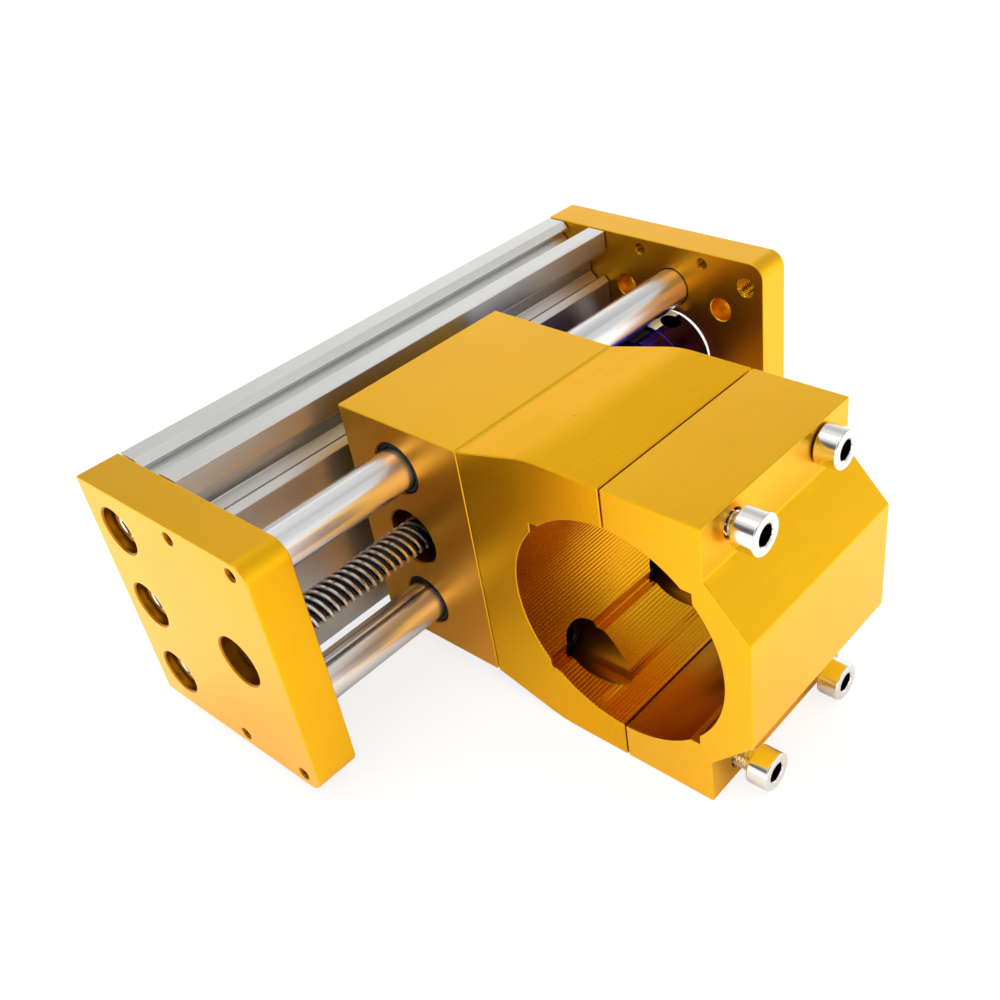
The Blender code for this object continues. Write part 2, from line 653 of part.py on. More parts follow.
def split_angle():
    """Angle of the bore's point at the split, which lies half the gap off its centre."""
    return math.asin(SPLIT_GAP / 2 / BORE_RADIUS)


def flank_points():
    """Upper flank of the rear jaw: a straight slope that a large radius turns level."""
    start, level = CARRIAGE_WIDTH / 2, JAW_WIDTH / 2
    outward = math.copysign(1, level - start)
    slope = math.atan2(abs(level - start), FLANK_RUN)
    tangent = FLANK_RADIUS * math.tan(slope / 2)
    back = CARRIAGE_FRONT + JOINT_GAP
    turn_forward = back + FLANK_RUN + tangent
    steps = 4
    points = [(back, start)]
    for step in range(steps + 1):
        angle = slope * (1 - step / steps)
        points.append((turn_forward - FLANK_RADIUS * math.sin(angle),
                       level - outward * FLANK_RADIUS * (1 - math.cos(angle))))
    return points


def clamp_screw_places():
    """Along and across position of each clamp screw, by name."""
    half_x, half_z = CLAMP_SCREW_SPACING / 2, CLAMP_SCREW_ACROSS
    return {
        "near_upper": (CARRIAGE_MIDDLE - half_x, half_z),
        "far_upper": (CARRIAGE_MIDDLE + half_x, half_z),
        "near_lower": (CARRIAGE_MIDDLE - half_x, -half_z),
        "far_lower": (CARRIAGE_MIDDLE + half_x, -half_z),
    }


def mount_screw_places():
    """Across and along position of the screws that hold the rear jaw."""
    half_x, half_z = MOUNT_SCREW_SPACING_X / 2, MOUNT_SCREW_SPACING_Z / 2
    return [(across, CARRIAGE_MIDDLE + offset)
            for offset in (-half_x, half_x) for across in (half_z, -half_z)]


def make_rear_jaw():
    """The half clamp that is bolted to the carriage."""
    split = BORE_CENTRE - SPLIT_GAP / 2
    upper = flank_points() + [(split, JAW_WIDTH / 2)]
    edge = split_angle()
    arc = bore_arc(math.pi / 2 + edge, 3 * math.pi / 2 - edge)
    lower = [(forward, -across) for forward, across in reversed(upper)]
    jaw = prism("rear_jaw", upper + arc + lower, CARRIAGE_AT, CARRIAGE_END)
    bevel(jaw)
    for name, (x, across) in clamp_screw_places().items():
        drill(jaw, at(x, split, across), -FORWARD, M5["shank"] + 2 * SEAT_GAP, CLAMP_SCREW_GRIP)
    for across, x in mount_screw_places():
        counterbore(jaw, at(x, split, across), -FORWARD, MOUNT_COUNTERBORE, split - MOUNT_SCREW_SEAT,
                    M5["shank"] + 2 * JOINT_GAP, split - CARRIAGE_FRONT + OVERCUT)
    jaw.data.materials.append(gold_finish("rear_jaw"))
    return jaw


def fillet(corner, before, after, radius, steps=3):
    """Round the corner between two straight edges of an outline."""
    corner, before, after = Vector(corner), Vector(before), Vector(after)
    to_before, to_after = (before - corner).normalized(), (after - corner).normalized()
    half = to_before.angle(to_after) / 2
    centre = corner + (to_before + to_after).normalized() * radius / math.sin(half)
    first = corner + to_before * radius / math.tan(half)
    last = corner + to_after * radius / math.tan(half)
    points = []
    for step in range(steps + 1):
        direction = (first - centre).lerp(last - centre, step / steps).normalized()
        points.append(tuple(centre + direction * radius))
    return points


def make_front_jaw():
    """The loose half clamp, stepped down for its screw heads and sloped to a narrow front."""
    split = BORE_CENTRE + SPLIT_GAP / 2
    seat_outer = (JAW_SEAT, JAW_WIDTH / 2)
    seat_inner = (JAW_SEAT, JAW_WIDTH / 2 - SEAT_WIDTH)
    front = (JAW_FRONT, JAW_WIDTH / 2 - SEAT_WIDTH - FRONT_SLOPE_WIDTH)
    upper = [(split, JAW_WIDTH / 2), seat_outer]
    upper += fillet(seat_inner, seat_outer, front, SEAT_FILLET) + [front]
    lower = [(forward, -across) for forward, across in reversed(upper)]
    edge = split_angle()
    arc = bore_arc(-math.pi / 2 + edge, math.pi / 2 - edge)
    jaw = prism("front_jaw", upper + lower + arc, CARRIAGE_AT, CARRIAGE_END)
    bevel(jaw)
    for name, (x, across) in clamp_screw_places().items():
        drill_through(jaw, at(x, JAW_SEAT, across), -FORWARD, M5["shank"] + 2 * JOINT_GAP, JAW_SEAT - split)
    jaw.data.materials.append(gold_finish("front_jaw"))
    return jaw


def make_clamp_screws():
    """Four screws through the front jaw into the rear jaw, not all of them driven home."""
    screws = {}
    length = JAW_SEAT - BORE_CENTRE + CLAMP_SCREW_GRIP
    for name, (x, across) in clamp_screw_places().items():
        seat = at(x, JAW_SEAT + JOINT_GAP + CLAMP_SCREW_STAND_OFF[name], across)
        screws[name] = cap_screw(f"clamp_screw_{name}", seat, -FORWARD, M5, length)
    return screws


def make_mount_screws():
    """Four screws from inside the bore through the rear jaw into the carriage."""
    screws = []
    length = MOUNT_SCREW_SEAT - CARRIAGE_FRONT + MOUNT_SCREW_REACH
    for number, (across, x) in enumerate(mount_screw_places(), start=1):
        place = at(x, MOUNT_SCREW_SEAT + JOINT_GAP, across)
        screws.append(cap_screw(f"jaw_mount_screw_{number}", place, -FORWARD, M5, length, DARK_STEEL))
    return screws


def make_lead_screw():
    """The lead screw, from the bearing in the idle plate into the coupling."""
    end = COUPLING_AT + COUPLING_HUB
    radius, taper = SCREW_DIAMETER / 2, 0.6 * MM
    length = end - SCREW_END_INSET
    outline = [(0.0, 0.0), (0.0, radius - taper), (taper, radius), (length - taper, radius),
               (length, radius - taper), (length, 0.0)]
    screw = turned("lead_screw", outline, at(SCREW_END_INSET, ROD_PLANE), ALONG, ROUND)
    screw.data.materials.append(finish("lead_screw", DARK_STEEL, 0.3, 1.0))
    return screw


def ring_points(radius, start, end, steps):
    """Points of an arc about the screw's axis, as forward and across; angle 0 is forward."""
    angles = [start + (end - start) * step / steps for step in range(steps + 1)]
    return [(ROD_PLANE + radius * math.cos(angle), radius * math.sin(angle)) for angle in angles]


def make_coupling_hub(name, end, direction, bore, first_jaw):
    """One hub of the coupling: a collar from end along direction, with its jaws in front."""
    radius, hole = COUPLING_DIAMETER / 2, bore / 2 + SEAT_GAP
    chamfer = 2 * EDGE_BREAK
    outline = [(0.0, hole), (0.0, radius - chamfer), (chamfer, radius), (COUPLING_HUB, radius),
               (COUPLING_HUB, hole)]
    hub = turned(name, outline, at(end, ROD_PLANE), direction, FINE)
    root = end + direction.x * (COUPLING_HUB - OVERCUT)
    tip = end + direction.x * (COUPLING_HUB + COUPLING_JAW)
    half = COUPLING_JAW_HALF_ANGLE
    for number in range(COUPLING_JAW_COUNT):
        middle = first_jaw + math.tau * number / COUPLING_JAW_COUNT
        outer = ring_points(radius - COUPLING_JAW_STEP, middle - half, middle + half, 4)
        inner = ring_points(COUPLING_JAW_BORE / 2, middle + half, middle - half, 4)
        join(hub, prism(f"{name}_jaw_{number}", outer + inner, min(root, tip), max(root, tip)))
    hub.data.materials.append(finish(name, BLUE_ANODISED, 0.3, 1.0))
    return hub


def fit_set_screw(hub, end, direction, bore):
    """Drill a radial hole in a hub and put the screw in it that grips the shaft."""
    centre = at(end, ROD_PLANE) + direction * SET_SCREW_INSET
    outward = Matrix.Rotation(SET_SCREW_TILT, 3, ALONG) @ ACROSS
    hole = plug(f"{hub.name}_radial_hole", centre, outward, SET_SCREW["shank"] / 2 + SEAT_GAP,
                COUPLING_DIAMETER)
    cut(hub, hole)
    top = centre + outward * (bore / 2 + JOINT_GAP + SET_SCREW_LENGTH)
    return set_screw(f"{hub.name}_set_screw", top, -outward, SET_SCREW, SET_SCREW_LENGTH)


def make_spider():
    """The soft insert between the jaws: a ring with one leg in each gap."""
    jaws = 2 * COUPLING_JAW_COUNT
    clear = JOINT_GAP / COUPLING_JAW_BORE * 2
    half = math.tau / jaws / 2 - COUPLING_JAW_HALF_ANGLE - clear
    core = COUPLING_JAW_BORE / 2 - JOINT_GAP
    outline = []
    for number in range(jaws):
        middle = math.tau * (number + 0.5) / jaws
        outline += ring_points(COUPLING_DIAMETER / 2 - 2 * EDGE_BREAK, middle - half, middle + half, 2)
        outline += ring_points(core, middle + half, middle - half + math.tau / jaws, 4)
    start = COUPLING_AT + COUPLING_HUB + JOINT_GAP
    thickness = COUPLING_LENGTH - 2 * (COUPLING_HUB + JOINT_GAP)
    spider = prism("coupling_spider", outline, start, start + thickness)
    hole = plug("spider_bore", at(start - OVERCUT, ROD_PLANE), ALONG, SPIDER_BORE / 2,
                thickness + 2 * OVERCUT, ROUND)
    cut(spider, hole)
    spider.data.materials.append(finish("coupling_spider", BLACK_POLYMER, 0.5, 0.0))
    return spider


def make_coupling():
    """The jaw coupling: a hub on each shaft, a soft spider between them, two set screws."""
    sector = math.tau / COUPLING_JAW_COUNT / 2
    near = make_coupling_hub("coupling_hub_screw_side", COUPLING_AT, ALONG, SCREW_DIAMETER, 0.0)
    far = make_coupling_hub("coupling_hub_motor_side", COUPLING_END, -ALONG, MOTOR_SHAFT, sector)
    return [near, far, make_spider(), fit_set_screw(near, COUPLING_AT, ALONG, SCREW_DIAMETER),
            fit_set_screw(far, COUPLING_END, -ALONG, MOTOR_SHAFT)]


def build():
    """Model every piece and hang the moving ones on their joints."""
    clear_scene()
    make_back_profile()
    make_idle_plate()
    make_motor_plate()
    make_guide_rods()
    make_profile_screws()
    _, inner_ring, _ = make_bearing()

    carriage_slide = joint_empty("carriage_slide", at(CARRIAGE_MIDDLE, ROD_PLANE))
    block = make_carriage_block()
    nut, nut_screws = make_lead_nut()
    rear_jaw = make_rear_jaw()
    riders = [block, nut, rear_jaw, *make_bushes(), *nut_screws, *make_mount_screws()]
    carry(carriage_slide, *riders)
    carry_cutters(carriage_slide, *riders)

    screw_turn = joint_empty("screw_turn", at(SCREW_END_INSET, ROD_PLANE))
    turners = [make_lead_screw(), inner_ring, *make_coupling()]
    carry(screw_turn, *turners)
    carry_cutters(screw_turn, *turners)

    clamp_opening = joint_empty("clamp_opening", at(CARRIAGE_MIDDLE, BORE_CENTRE))
    front_jaw = make_front_jaw()
    carry(clamp_opening, front_jaw)
    carry_cutters(clamp_opening, front_jaw)
    for name, screw in make_clamp_screws().items():
        x, across = clamp_screw_places()[name]
        turn = joint_empty(f"clamp_screw_turn_{name}", at(x, JAW_SEAT, across))
        carry(turn, screw)
        carry_cutters(turn, screw)


build()
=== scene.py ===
"""Looks of a linear Z-axis module with a split spindle clamp, built around its CAD model.

Lengths are in metres, in the CAD model's own frame: +X runs along the guide rods from the
idle plate to the motor plate, the clamp faces -Y, the slotted profile is at +Y and +Z is up.
Each operator of the add-on makes one group of pieces where the CAD model has them.
"""

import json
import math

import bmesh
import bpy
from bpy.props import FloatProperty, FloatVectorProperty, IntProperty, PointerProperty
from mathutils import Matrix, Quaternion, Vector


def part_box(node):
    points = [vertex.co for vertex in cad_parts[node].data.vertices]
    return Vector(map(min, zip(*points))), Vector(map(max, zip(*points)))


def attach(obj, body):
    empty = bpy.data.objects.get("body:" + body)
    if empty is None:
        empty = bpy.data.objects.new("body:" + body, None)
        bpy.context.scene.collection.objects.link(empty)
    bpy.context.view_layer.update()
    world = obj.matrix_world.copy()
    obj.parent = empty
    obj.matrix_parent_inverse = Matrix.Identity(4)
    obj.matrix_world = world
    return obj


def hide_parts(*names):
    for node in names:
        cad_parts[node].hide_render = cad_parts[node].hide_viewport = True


bl_info = {
    "name": "Linear Z-Axis Module",
    "version": (1, 0, 0),
    "blender": (4, 5, 0),
    "location": "3D View > Sidebar > Z Axis",
    "description": "Makes the profile, plates, rods, screws, carriage, clamp and coupling of a Z-axis module",
    "category": "Add Mesh",
}

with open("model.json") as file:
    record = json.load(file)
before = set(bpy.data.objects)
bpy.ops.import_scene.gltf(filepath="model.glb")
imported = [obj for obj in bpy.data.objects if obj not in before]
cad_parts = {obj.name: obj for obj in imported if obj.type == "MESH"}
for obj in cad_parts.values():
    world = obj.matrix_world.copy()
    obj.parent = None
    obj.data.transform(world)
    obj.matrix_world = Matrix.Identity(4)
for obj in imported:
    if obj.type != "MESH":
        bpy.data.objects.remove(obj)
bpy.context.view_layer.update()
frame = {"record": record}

MM = 0.001
ALONG = Vector((1, 0, 0))
FORWARD = Vector((0, -1, 0))
ACROSS = Vector((0, 0, 1))

# Clearances and overcuts that the CAD model has between its pieces
JOINT_GAP = 0.3 * MM
SEAT_GAP = 0.2 * MM
OVERCUT = 1.0 * MM

# Screw threads, the holes that they pass or are cut in, and the depth of blind holes
M5 = 5.0 * MM
M5_PASS = 5.6 * MM
M5_CUT = 5.4 * MM
M5_PITCH = 0.8 * MM
M3 = 3.0 * MM
M3_CUT_RADIUS = 1.7 * MM
M3_PITCH = 0.5 * MM
ROD_SOCKET_DEPTH = 7.0 * MM
MOUNT_THREAD_DEPTH = 11.3 * MM
NUT_THREAD_DEPTH = 11.0 * MM
RODS = ("guide_rod_upper", "guide_rod_lower")

# Countersinks of the threads in the plates and of the motor pilot, and the reach of the 5 mm thread's grooves
# that get painted shade
M3_RIM = 0.15 * MM
M5_RIM = 0.25 * MM
PILOT_RIM = 0.1 * MM
M5_GROOVES = (2.24 * MM, 2.6 * MM)

# Facets around round pieces, by size
BORE_FACETS = 160
WIDE_FACETS = 96
ROUND_FACETS = 64
SMALL_FACETS = 40

# Marks of turned pieces, drawn out round the rods' direction
ROUND_MARKS = (1.0, 0.1, 0.1)

# Depth of the bumps in a finish, and the distance within which the corners of a cut are one
FINE_BUMP = 0.01 * MM
WELD = 0.002 * MM

BODY_OF = {node: body for body, nodes in frame["record"]["behaviour"]["bodies"].items() for node in nodes}


def low(node):
    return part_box(node)[0]


def high(node):
    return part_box(node)[1]


def middle(node):
    lowest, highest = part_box(node)
    return (lowest + highest) / 2


def size(node):
    lowest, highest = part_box(node)
    return highest - lowest


def on_axis(x, node):
    """The point on a node's own axis along the rods, at one x."""
    return Vector((x, middle(node).y, middle(node).z))


def numbered(name, count):
    """The CAD nodes of a row of like pieces."""
    return [f"{name}_{number}" for number in range(1, count + 1)]


X_START = low("idle_end_plate").x
Y_BACK = high("back_profile").y
Z_MIDDLE = middle("back_profile").z
ROD_PLANE = Y_BACK - middle("guide_rod_upper").y
PLATE_THICKNESS = size("idle_end_plate").x
CARRIAGE_START = low("carriage_block").x - X_START
CARRIAGE_END = high("carriage_block").x - X_START
CARRIAGE_MIDDLE = (CARRIAGE_START + CARRIAGE_END) / 2
CARRIAGE_FRONT = Y_BACK - low("carriage_block").y
MOTOR_PLATE_START = low("motor_plate").x - X_START


def at(along, forward, across=0.0):
    """World point for a place along the rods, forward of the flat back and across the middle."""
    return Vector((X_START + along, Y_BACK - forward, Z_MIDDLE + across))


def ends_along(node):
    """Where a node starts and ends along the rods."""
    return low(node).x - X_START, high(node).x - X_START


def mm(label, default, text):
    """A length that a user may change, its default in millimetres."""
    return FloatProperty(name=label, description=text, default=default * MM, min=0.0, unit="LENGTH",
                         subtype="DISTANCE", precision=4)


def colour_of(label, default, text):
    """A linear colour that a user may change."""
    return FloatVectorProperty(name=label, description=text, default=default, size=3, min=0.0,
                               max=1.0, subtype="COLOR")


def share_of(label, default, text, top=1.0):
    """A plain number, such as a roughness."""
    return FloatProperty(name=label, description=text, default=default, min=0.0, max=top)


def angle_of(label, degrees, text):
    """An angle, shown in degrees."""
    return FloatProperty(name=label, description=text, default=math.radians(degrees), unit="ROTATION",
                         subtype="ANGLE")


class ProfileSizes(bpy.types.PropertyGroup):
    """Cross-section of the slotted aluminium profile"""
    slot_pitch: mm("Slot pitch", 20, "Distance between two slots")
    mouth: mm("Slot mouth", 9.2, "Width of a slot at the surface")
    throat: mm("Slot throat", 6.2, "Width between the lips")
    lip: mm("Lip", 2.1, "Thickness of a lip")
    cavity: mm("Cavity", 11.0, "Widest place of a slot")
    floor: mm("Floor", 5.6, "Flat floor of a slot")
    depth: mm("Slot depth", 6.1, "Depth of a slot")
    core: mm("Core bore", 5.4, "Bore for the plate screws")
    chamber_width: mm("Chamber width", 5.0, "Hollow between two slots, across")
    chamber_depth: mm("Chamber depth", 11.0, "Hollow between two slots, front to back")
    edge: mm("Edge radius", 0.22, "Radius of the die's corners")


class PlateSizes(bpy.types.PropertyGroup):
    """The two end plates and their holes"""
    corner: mm("Corner radius", 4.0, "Radius of the two front corners")
    edge: mm("Edge break", 0.28, "Rounding of the sharp edges")
    rim: mm("Hole rim", 0.35, "Countersink at a hole's mouth")
    screw_forward: mm("Screw row", 10.0, "Plate screws, forward of the back")
    screw_bore: mm("Counterbore", 11.0, "Counterbore of the plate screws")
    screw_bore_depth: mm("Counterbore depth", 7.2, "Depth of that counterbore")
    window: mm("Bearing window", 12.0, "Hole that shows the bearing")
    accessory_pitch: mm("Accessory pitch", 20.0, "Small threads, front to back")
    accessory_spacing: mm("Accessory spacing", 54.0, "Small threads, across")
    pilot: mm("Motor pilot", 23.0, "Hole that centres the motor")
    motor_spacing: mm("Motor hole spacing", 31.0, "Side of the motor's hole square")
    motor_hole: mm("Motor hole", 3.4, "Clearance hole of a motor screw")
    motor_bore: mm("Motor counterbore", 6.2, "Counterbore of a motor screw")
    motor_bore_depth: mm("Motor counterbore depth", 4.0, "Its depth")
    thread_forward: mm("Corner thread forward", 65.0, "Corner thread, from the back")
    thread_across: mm("Corner thread across", 23.5, "Corner thread, from the middle")


class DriveSizes(bpy.types.PropertyGroup):
    """Lead screw, bearing, nut, bushes and coupling"""
    screw: mm("Screw diameter", 8.0, "Outer diameter of the lead screw")
    screw_root: mm("Screw root", 5.9, "Diameter at the bottom of its thread")
    pitch: mm("Thread pitch", 2.0, "Distance between two ridges")
    starts: IntProperty(name="Starts", description="Number of parallel threads", default=4, min=1)
    bush_hole: mm("Bush hole", 12.6, "Bore of the carriage round a bush")
    tunnel: mm("Screw tunnel", 14.0, "Bore of the carriage round the lead screw")
    nut_recess: mm("Nut recess", 22.6, "Recess for the nut's flange")
    nut_recess_depth: mm("Nut recess depth", 6.6, "Its depth")
    nut_body: mm("Nut body", 10.2, "Outer diameter of the nut's body")
    nut_flange: mm("Nut flange", 3.5, "Thickness of the nut's flange")
    nut_circle: mm("Nut screw circle", 16.0, "Circle of the nut's four screws")
    hub_wide: mm("Hub diameter", 25.0, "Outer diameter of a coupling hub")
    hub: mm("Hub length", 11.0, "Solid part of a coupling hub")
    jaw: mm("Jaw length", 7.0, "Length of a coupling jaw")
    jaw_bore: mm("Jaw bore", 11.0, "Inside diameter of the jaws")
    jaw_half: angle_of("Jaw half angle", 17, "Half the angle that a jaw takes")
    shaft: mm("Motor shaft", 5.0, "Bore of the motor's hub")
    set_inset: mm("Set screw inset", 4.3, "Set screw, from the hub's end")
    set_tilt: angle_of("Set screw tilt", 16, "Lean of the set screws towards the front")


class ClampSizes(bpy.types.PropertyGroup):
    """The split clamp that holds the spindle"""
    bore: mm("Spindle bore", 52.0, "Diameter of the clamp's bore")
    bore_forward: mm("Bore place", 99.5, "Centre of the bore, from the back")
    split: mm("Split", 0.4, "Gap between the two jaws")
    flank_run: mm("Flank run", 19.0, "Length of the sloping flank")
    flank_radius: mm("Flank radius", 30.0, "Radius that turns the flank level")
    relief: mm("Relief square", 39.0, "Square whose corners relieve the bore")
    seat_forward: mm("Seat place", 121.7, "Face under the screw heads, from the back")
    seat_inner: mm("Seat inner edge", 23.6, "Inner edge of that face, from the middle")
    seat_fillet: mm("Seat fillet", 1.2, "Fillet at the inner edge")
    front_half: mm("Front half width", 13.1, "Half the width of the front face")
    edge: mm("Edge break", 0.28, "Rounding of the sharp edges")
    pass_width: mm("Milling pass", 0.88, "Step between two milling passes in the bore")
    pass_height: mm("Milling ridge", 0.06, "Height of the ridge between two passes")
    screw_spacing: mm("Screw spacing", 30.0, "Distance of the screws along the rods")
    screw_span: mm("Screw span", 60.0, "Distance of the clamp screws across")
    mount_span: mm("Mounting span", 40.0, "Distance of the mounting screws across")
    mount_seat: mm("Mounting seat", 71.0, "Floor of a counterbore, from the back")
    mount_bore: mm("Mounting counterbore", 10.5, "Its diameter")
    grip: mm("Thread grip", 9.0, "Thread of a clamp screw in the rear jaw")


class ScrewSizes(bpy.types.PropertyGroup):
    """Socket head screws with a 5 mm and a 3 mm thread"""
    wide_head: mm("M5 head", 8.5, "Head diameter")
    wide_height: mm("M5 head height", 5.0, "Head height")
    wide_key: mm("M5 key", 4.0, "Hexagon across flats")
    wide_pitch: mm("M5 pitch", 0.8, "Thread pitch")
    low_head: mm("M3 head", 5.5, "Head diameter")
    low_height: mm("M3 head height", 2.0, "Head height")
    low_key: mm("M3 key", 2.0, "Hexagon across flats")
    low_pitch: mm("M3 pitch", 0.5, "Thread pitch")
    set_key: mm("Set screw key", 2.5, "Hexagon across flats")


class Finishes(bpy.types.PropertyGroup):
    """Colours and roughness of the materials"""
    gold: colour_of("Gold", (0.95, 0.505, 0.009), "Gold anodised aluminium")
    gold_rough: share_of("Gold roughness", 0.34, "Satin of the blasted faces")
    profile: colour_of("Profile", (0.80, 0.795, 0.77), "Satin aluminium of the profile")
    profile_rough: share_of("Profile roughness", 0.33, "Satin of the profile")
    chrome: colour_of("Rods", (0.88, 0.88, 0.88), "Ground and plated rods")
    chrome_rough: share_of("Rod roughness", 0.20, "Polish of the rods")
    nickel: colour_of("Nickel", (0.82, 0.80, 0.77), "Plated screws")
    nickel_rough: share_of("Nickel roughness", 0.13, "Polish of the screws")
    steel: colour_of("Lead screw", (0.70, 0.67, 0.64), "Rolled steel of the lead screw")
    oxide: colour_of("Oxide", (0.025, 0.022, 0.020), "Black oxide of dark screws")
    blue: colour_of("Coupling", (0.045, 0.022, 0.42), "Blue anodised coupling")
    brass: colour_of("Brass", (0.72, 0.50, 0.17), "Lead screw nut")
    polymer: colour_of("Polymer", (0.012, 0.012, 0.013), "Bushes and spider")


# Darker parts of the room: direction, cosine at the rim and at the core, share of the light left.
DARK_SIDES = (
    ((0.098, 0.934, 0.344), 0.84, 0.99, 0.42),
    ((-0.58, -0.547, 0.603), 0.90, 0.97, 0.25),
    ((0.58, -0.279, 0.766), 0.80, 0.95, 0.76),
    ((0.58, 0.305, 0.756), 0.93, 0.99, 0.70),
    ((0.58, -0.142, 0.803), 0.975, 0.995, 0.6),
    ((-0.75, 0.547, 0.37), 0.90, 0.98, 0.12),
)


class StageSettings(bpy.types.PropertyGroup):
    """Camera, floor and lights"""
    target: FloatVectorProperty(name="Target", description="Point that the camera looks at", size=3,
                                default=(-0.0009, -0.00502, 0.02959), subtype="TRANSLATION",
                                unit="LENGTH")
    distance: mm("Distance", 261.97, "Camera to target")
    azimuth: angle_of("Azimuth", -46.73, "Camera's turn round the object")
    elevation: angle_of("Elevation", 37.116, "Camera's height above the horizon")
    roll: angle_of("Roll", -6.721, "Camera's turn about its own axis")
    lens: FloatProperty(name="Lens", description="Focal length in millimetres", default=41.32, min=1.0)
    shift_x: FloatProperty(name="Shift X", description="Sideways shift of the picture", default=-0.10)
    shift_y: FloatProperty(name="Shift Y", description="Upward shift of the picture", default=0.03)
    floor_radius: mm("Floor radius", 1600, "Radius of the white floor")
    wall_height: mm("Wall height", 550, "Height of the white wall round it")
    shadow: share_of("Shadow", 0.2, "Share of the floor's own shading that the camera sees")
    room: share_of("Room light", 0.96, "Light of the room above the wall")
    tent: share_of("Tent light", 1.6, "Light that the white room throws on the floor", 3.0)


def linked(name, data):
    """A new object of the scene."""
    item = bpy.data.objects.new(name, data)
    bpy.context.scene.collection.objects.link(item)
    return item


def piece_of(name, shape):
    """Turn a bmesh into an object of the scene with its faces pointing outwards."""
    bmesh.ops.recalc_face_normals(shape, faces=shape.faces)
    mesh = bpy.data.meshes.new(name)
    shape.to_mesh(mesh)
    shape.free()
    return linked(name, mesh)


def prism(name, outline, start, end):
    """Extrude an outline of (forward, across) points along the rods, from start to end."""
    shape = bmesh.new()
    rim = [shape.verts.new(at(start, forward, across)) for forward, across in outline]
    swept = bmesh.ops.extrude_face_region(shape, geom=[shape.faces.new(rim)])
    moved = [item for item in swept["geom"] if isinstance(item, bmesh.types.BMVert)]
    bmesh.ops.translate(shape, verts=moved, vec=ALONG * (end - start))
    return piece_of(name, shape)


def square_to(axis):
    """Two unit vectors square to an axis, for drawing circles around it."""
    helper = ACROSS if abs(axis.dot(ACROSS)) < 0.9 else ALONG
    side = axis.cross(helper).normalized()
    return side, axis.cross(side).normalized()


def turned(name, outline, centre, axis, facets=ROUND_FACETS, ring=False):
    """Revolve (step, radius) points about an axis; a ring's outline is closed on itself."""
    shape = bmesh.new()
    side, up = square_to(axis)
    angles = [math.tau * facet / facets for facet in range(facets)]
    circles = []
    for step, radius in outline:
        turns = angles if radius > 0 else [0.0]
        circles.append([shape.verts.new(centre + axis * step + (side * math.cos(turn) + up * math.sin(turn))
                                        * radius) for turn in turns])
    pairs = list(zip(circles, circles[1:]))
    if ring:
        pairs.append((circles[-1], circles[0]))
    for first, second in pairs:
        for facet in range(facets):
            after = (facet + 1) % facets
            corners = [first[facet % len(first)], first[after % len(first)],
                       second[after % len(second)], second[facet % len(second)]]
            corners = list(dict.fromkeys(corners))
            if len(corners) > 2:
                shape.faces.new(corners)
    return piece_of(name, shape)


def rod(name, start, axis, radius, length, facets=SMALL_FACETS):
    """A plain solid cylinder from start along an axis."""
    return turned(name, [(0.0, 0.0), (0.0, radius), (length, radius), (length, 0.0)], start, axis, facets)


def baked(piece):
    """Give a piece the mesh that its modifiers make, and drop the modifiers."""
    graph = bpy.context.evaluated_depsgraph_get()
    mesh = bpy.data.meshes.new_from_object(piece.evaluated_get(graph), preserve_all_data_layers=True,
                                           depsgraph=graph)
    piece.modifiers.clear()
    piece.data = mesh
    mesh.name = piece.name
    return piece


def broken(piece, width, segments=3):
    """Round the sharp edges of a block."""
    edge = piece.modifiers.new("Edge", "BEVEL")
    edge.width = width
    edge.segments = segments
    edge.limit_method = "ANGLE"
    edge.angle_limit = math.radians(35)
    edge.use_clamp_overlap = False
    return baked(piece)


def carved(piece, *cutters, joined=(), inside=None):
    """Take cutters out of a piece, after joining other shapes to it. The walls of the cuts may
    get a material of their own."""
    tools = [(shape, "UNION") for shape in joined] + [(shape, "DIFFERENCE") for shape in cutters]
    for shape, operation in tools:
        tool = piece.modifiers.new(shape.name, "BOOLEAN")
        tool.operation = operation
        tool.solver = "EXACT"
        tool.object = shape
        if inside:
            tool.material_mode = "TRANSFER"
            shape.data.materials.append(inside)
    baked(piece)
    for shape, _ in tools:
        bpy.data.objects.remove(shape)
    whole = bmesh.new()
    whole.from_mesh(piece.data)
    bmesh.ops.remove_doubles(whole, verts=whole.verts, dist=WELD)
    whole.to_mesh(piece.data)
    whole.free()
    return piece


def shaded(piece, *materials):
    """Smooth the round faces, keep the flat ones flat and give the piece its materials."""
    piece.data.shade_smooth()
    piece.data.set_sharp_from_angle(angle=math.radians(31))
    normal = piece.modifiers.new("Normals", "WEIGHTED_NORMAL")
    normal.keep_sharp = True
    baked(piece)
    for material in materials:
        piece.data.materials.append(material)
    return piece


def painted(piece, material, test):
    """Give a material to the faces whose centre and normal pass a test."""
    slots = piece.data.materials
    if slots.find(material.name) < 0:
        slots.append(material)
    for face in piece.data.polygons:
        if test(face.center, face.normal):
            face.material_index = slots.find(material.name)
    return piece


def settled(piece, slot, *nodes):
    """Let a piece stand for CAD nodes and ride on their body."""
    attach(piece, BODY_OF[nodes[0]])
    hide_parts(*nodes)
    return piece


def add_node(tree, kind, inputs=None, **settings):
    """Add a node, give its settings and its inputs, which are values or other nodes' sockets."""
    node = tree.nodes.new(kind)
    for key, value in settings.items():
        setattr(node, key, value)
    for key, value in (inputs or {}).items():
        if isinstance(value, bpy.types.NodeSocket):
            tree.links.new(value, node.inputs[key])
        else:
            node.inputs[key].default_value = value
    return node


def calculate(tree, operation, *values, clamp=False):
    """A math node's result."""
    return add_node(tree, "ShaderNodeMath", dict(enumerate(values)), operation=operation,
                    use_clamp=clamp).outputs[0]


def plus(tree, *values):
    return calculate(tree, "ADD", *values)


def minus(tree, *values):
    return calculate(tree, "SUBTRACT", *values)


def times(tree, *values):
    return calculate(tree, "MULTIPLY", *values)


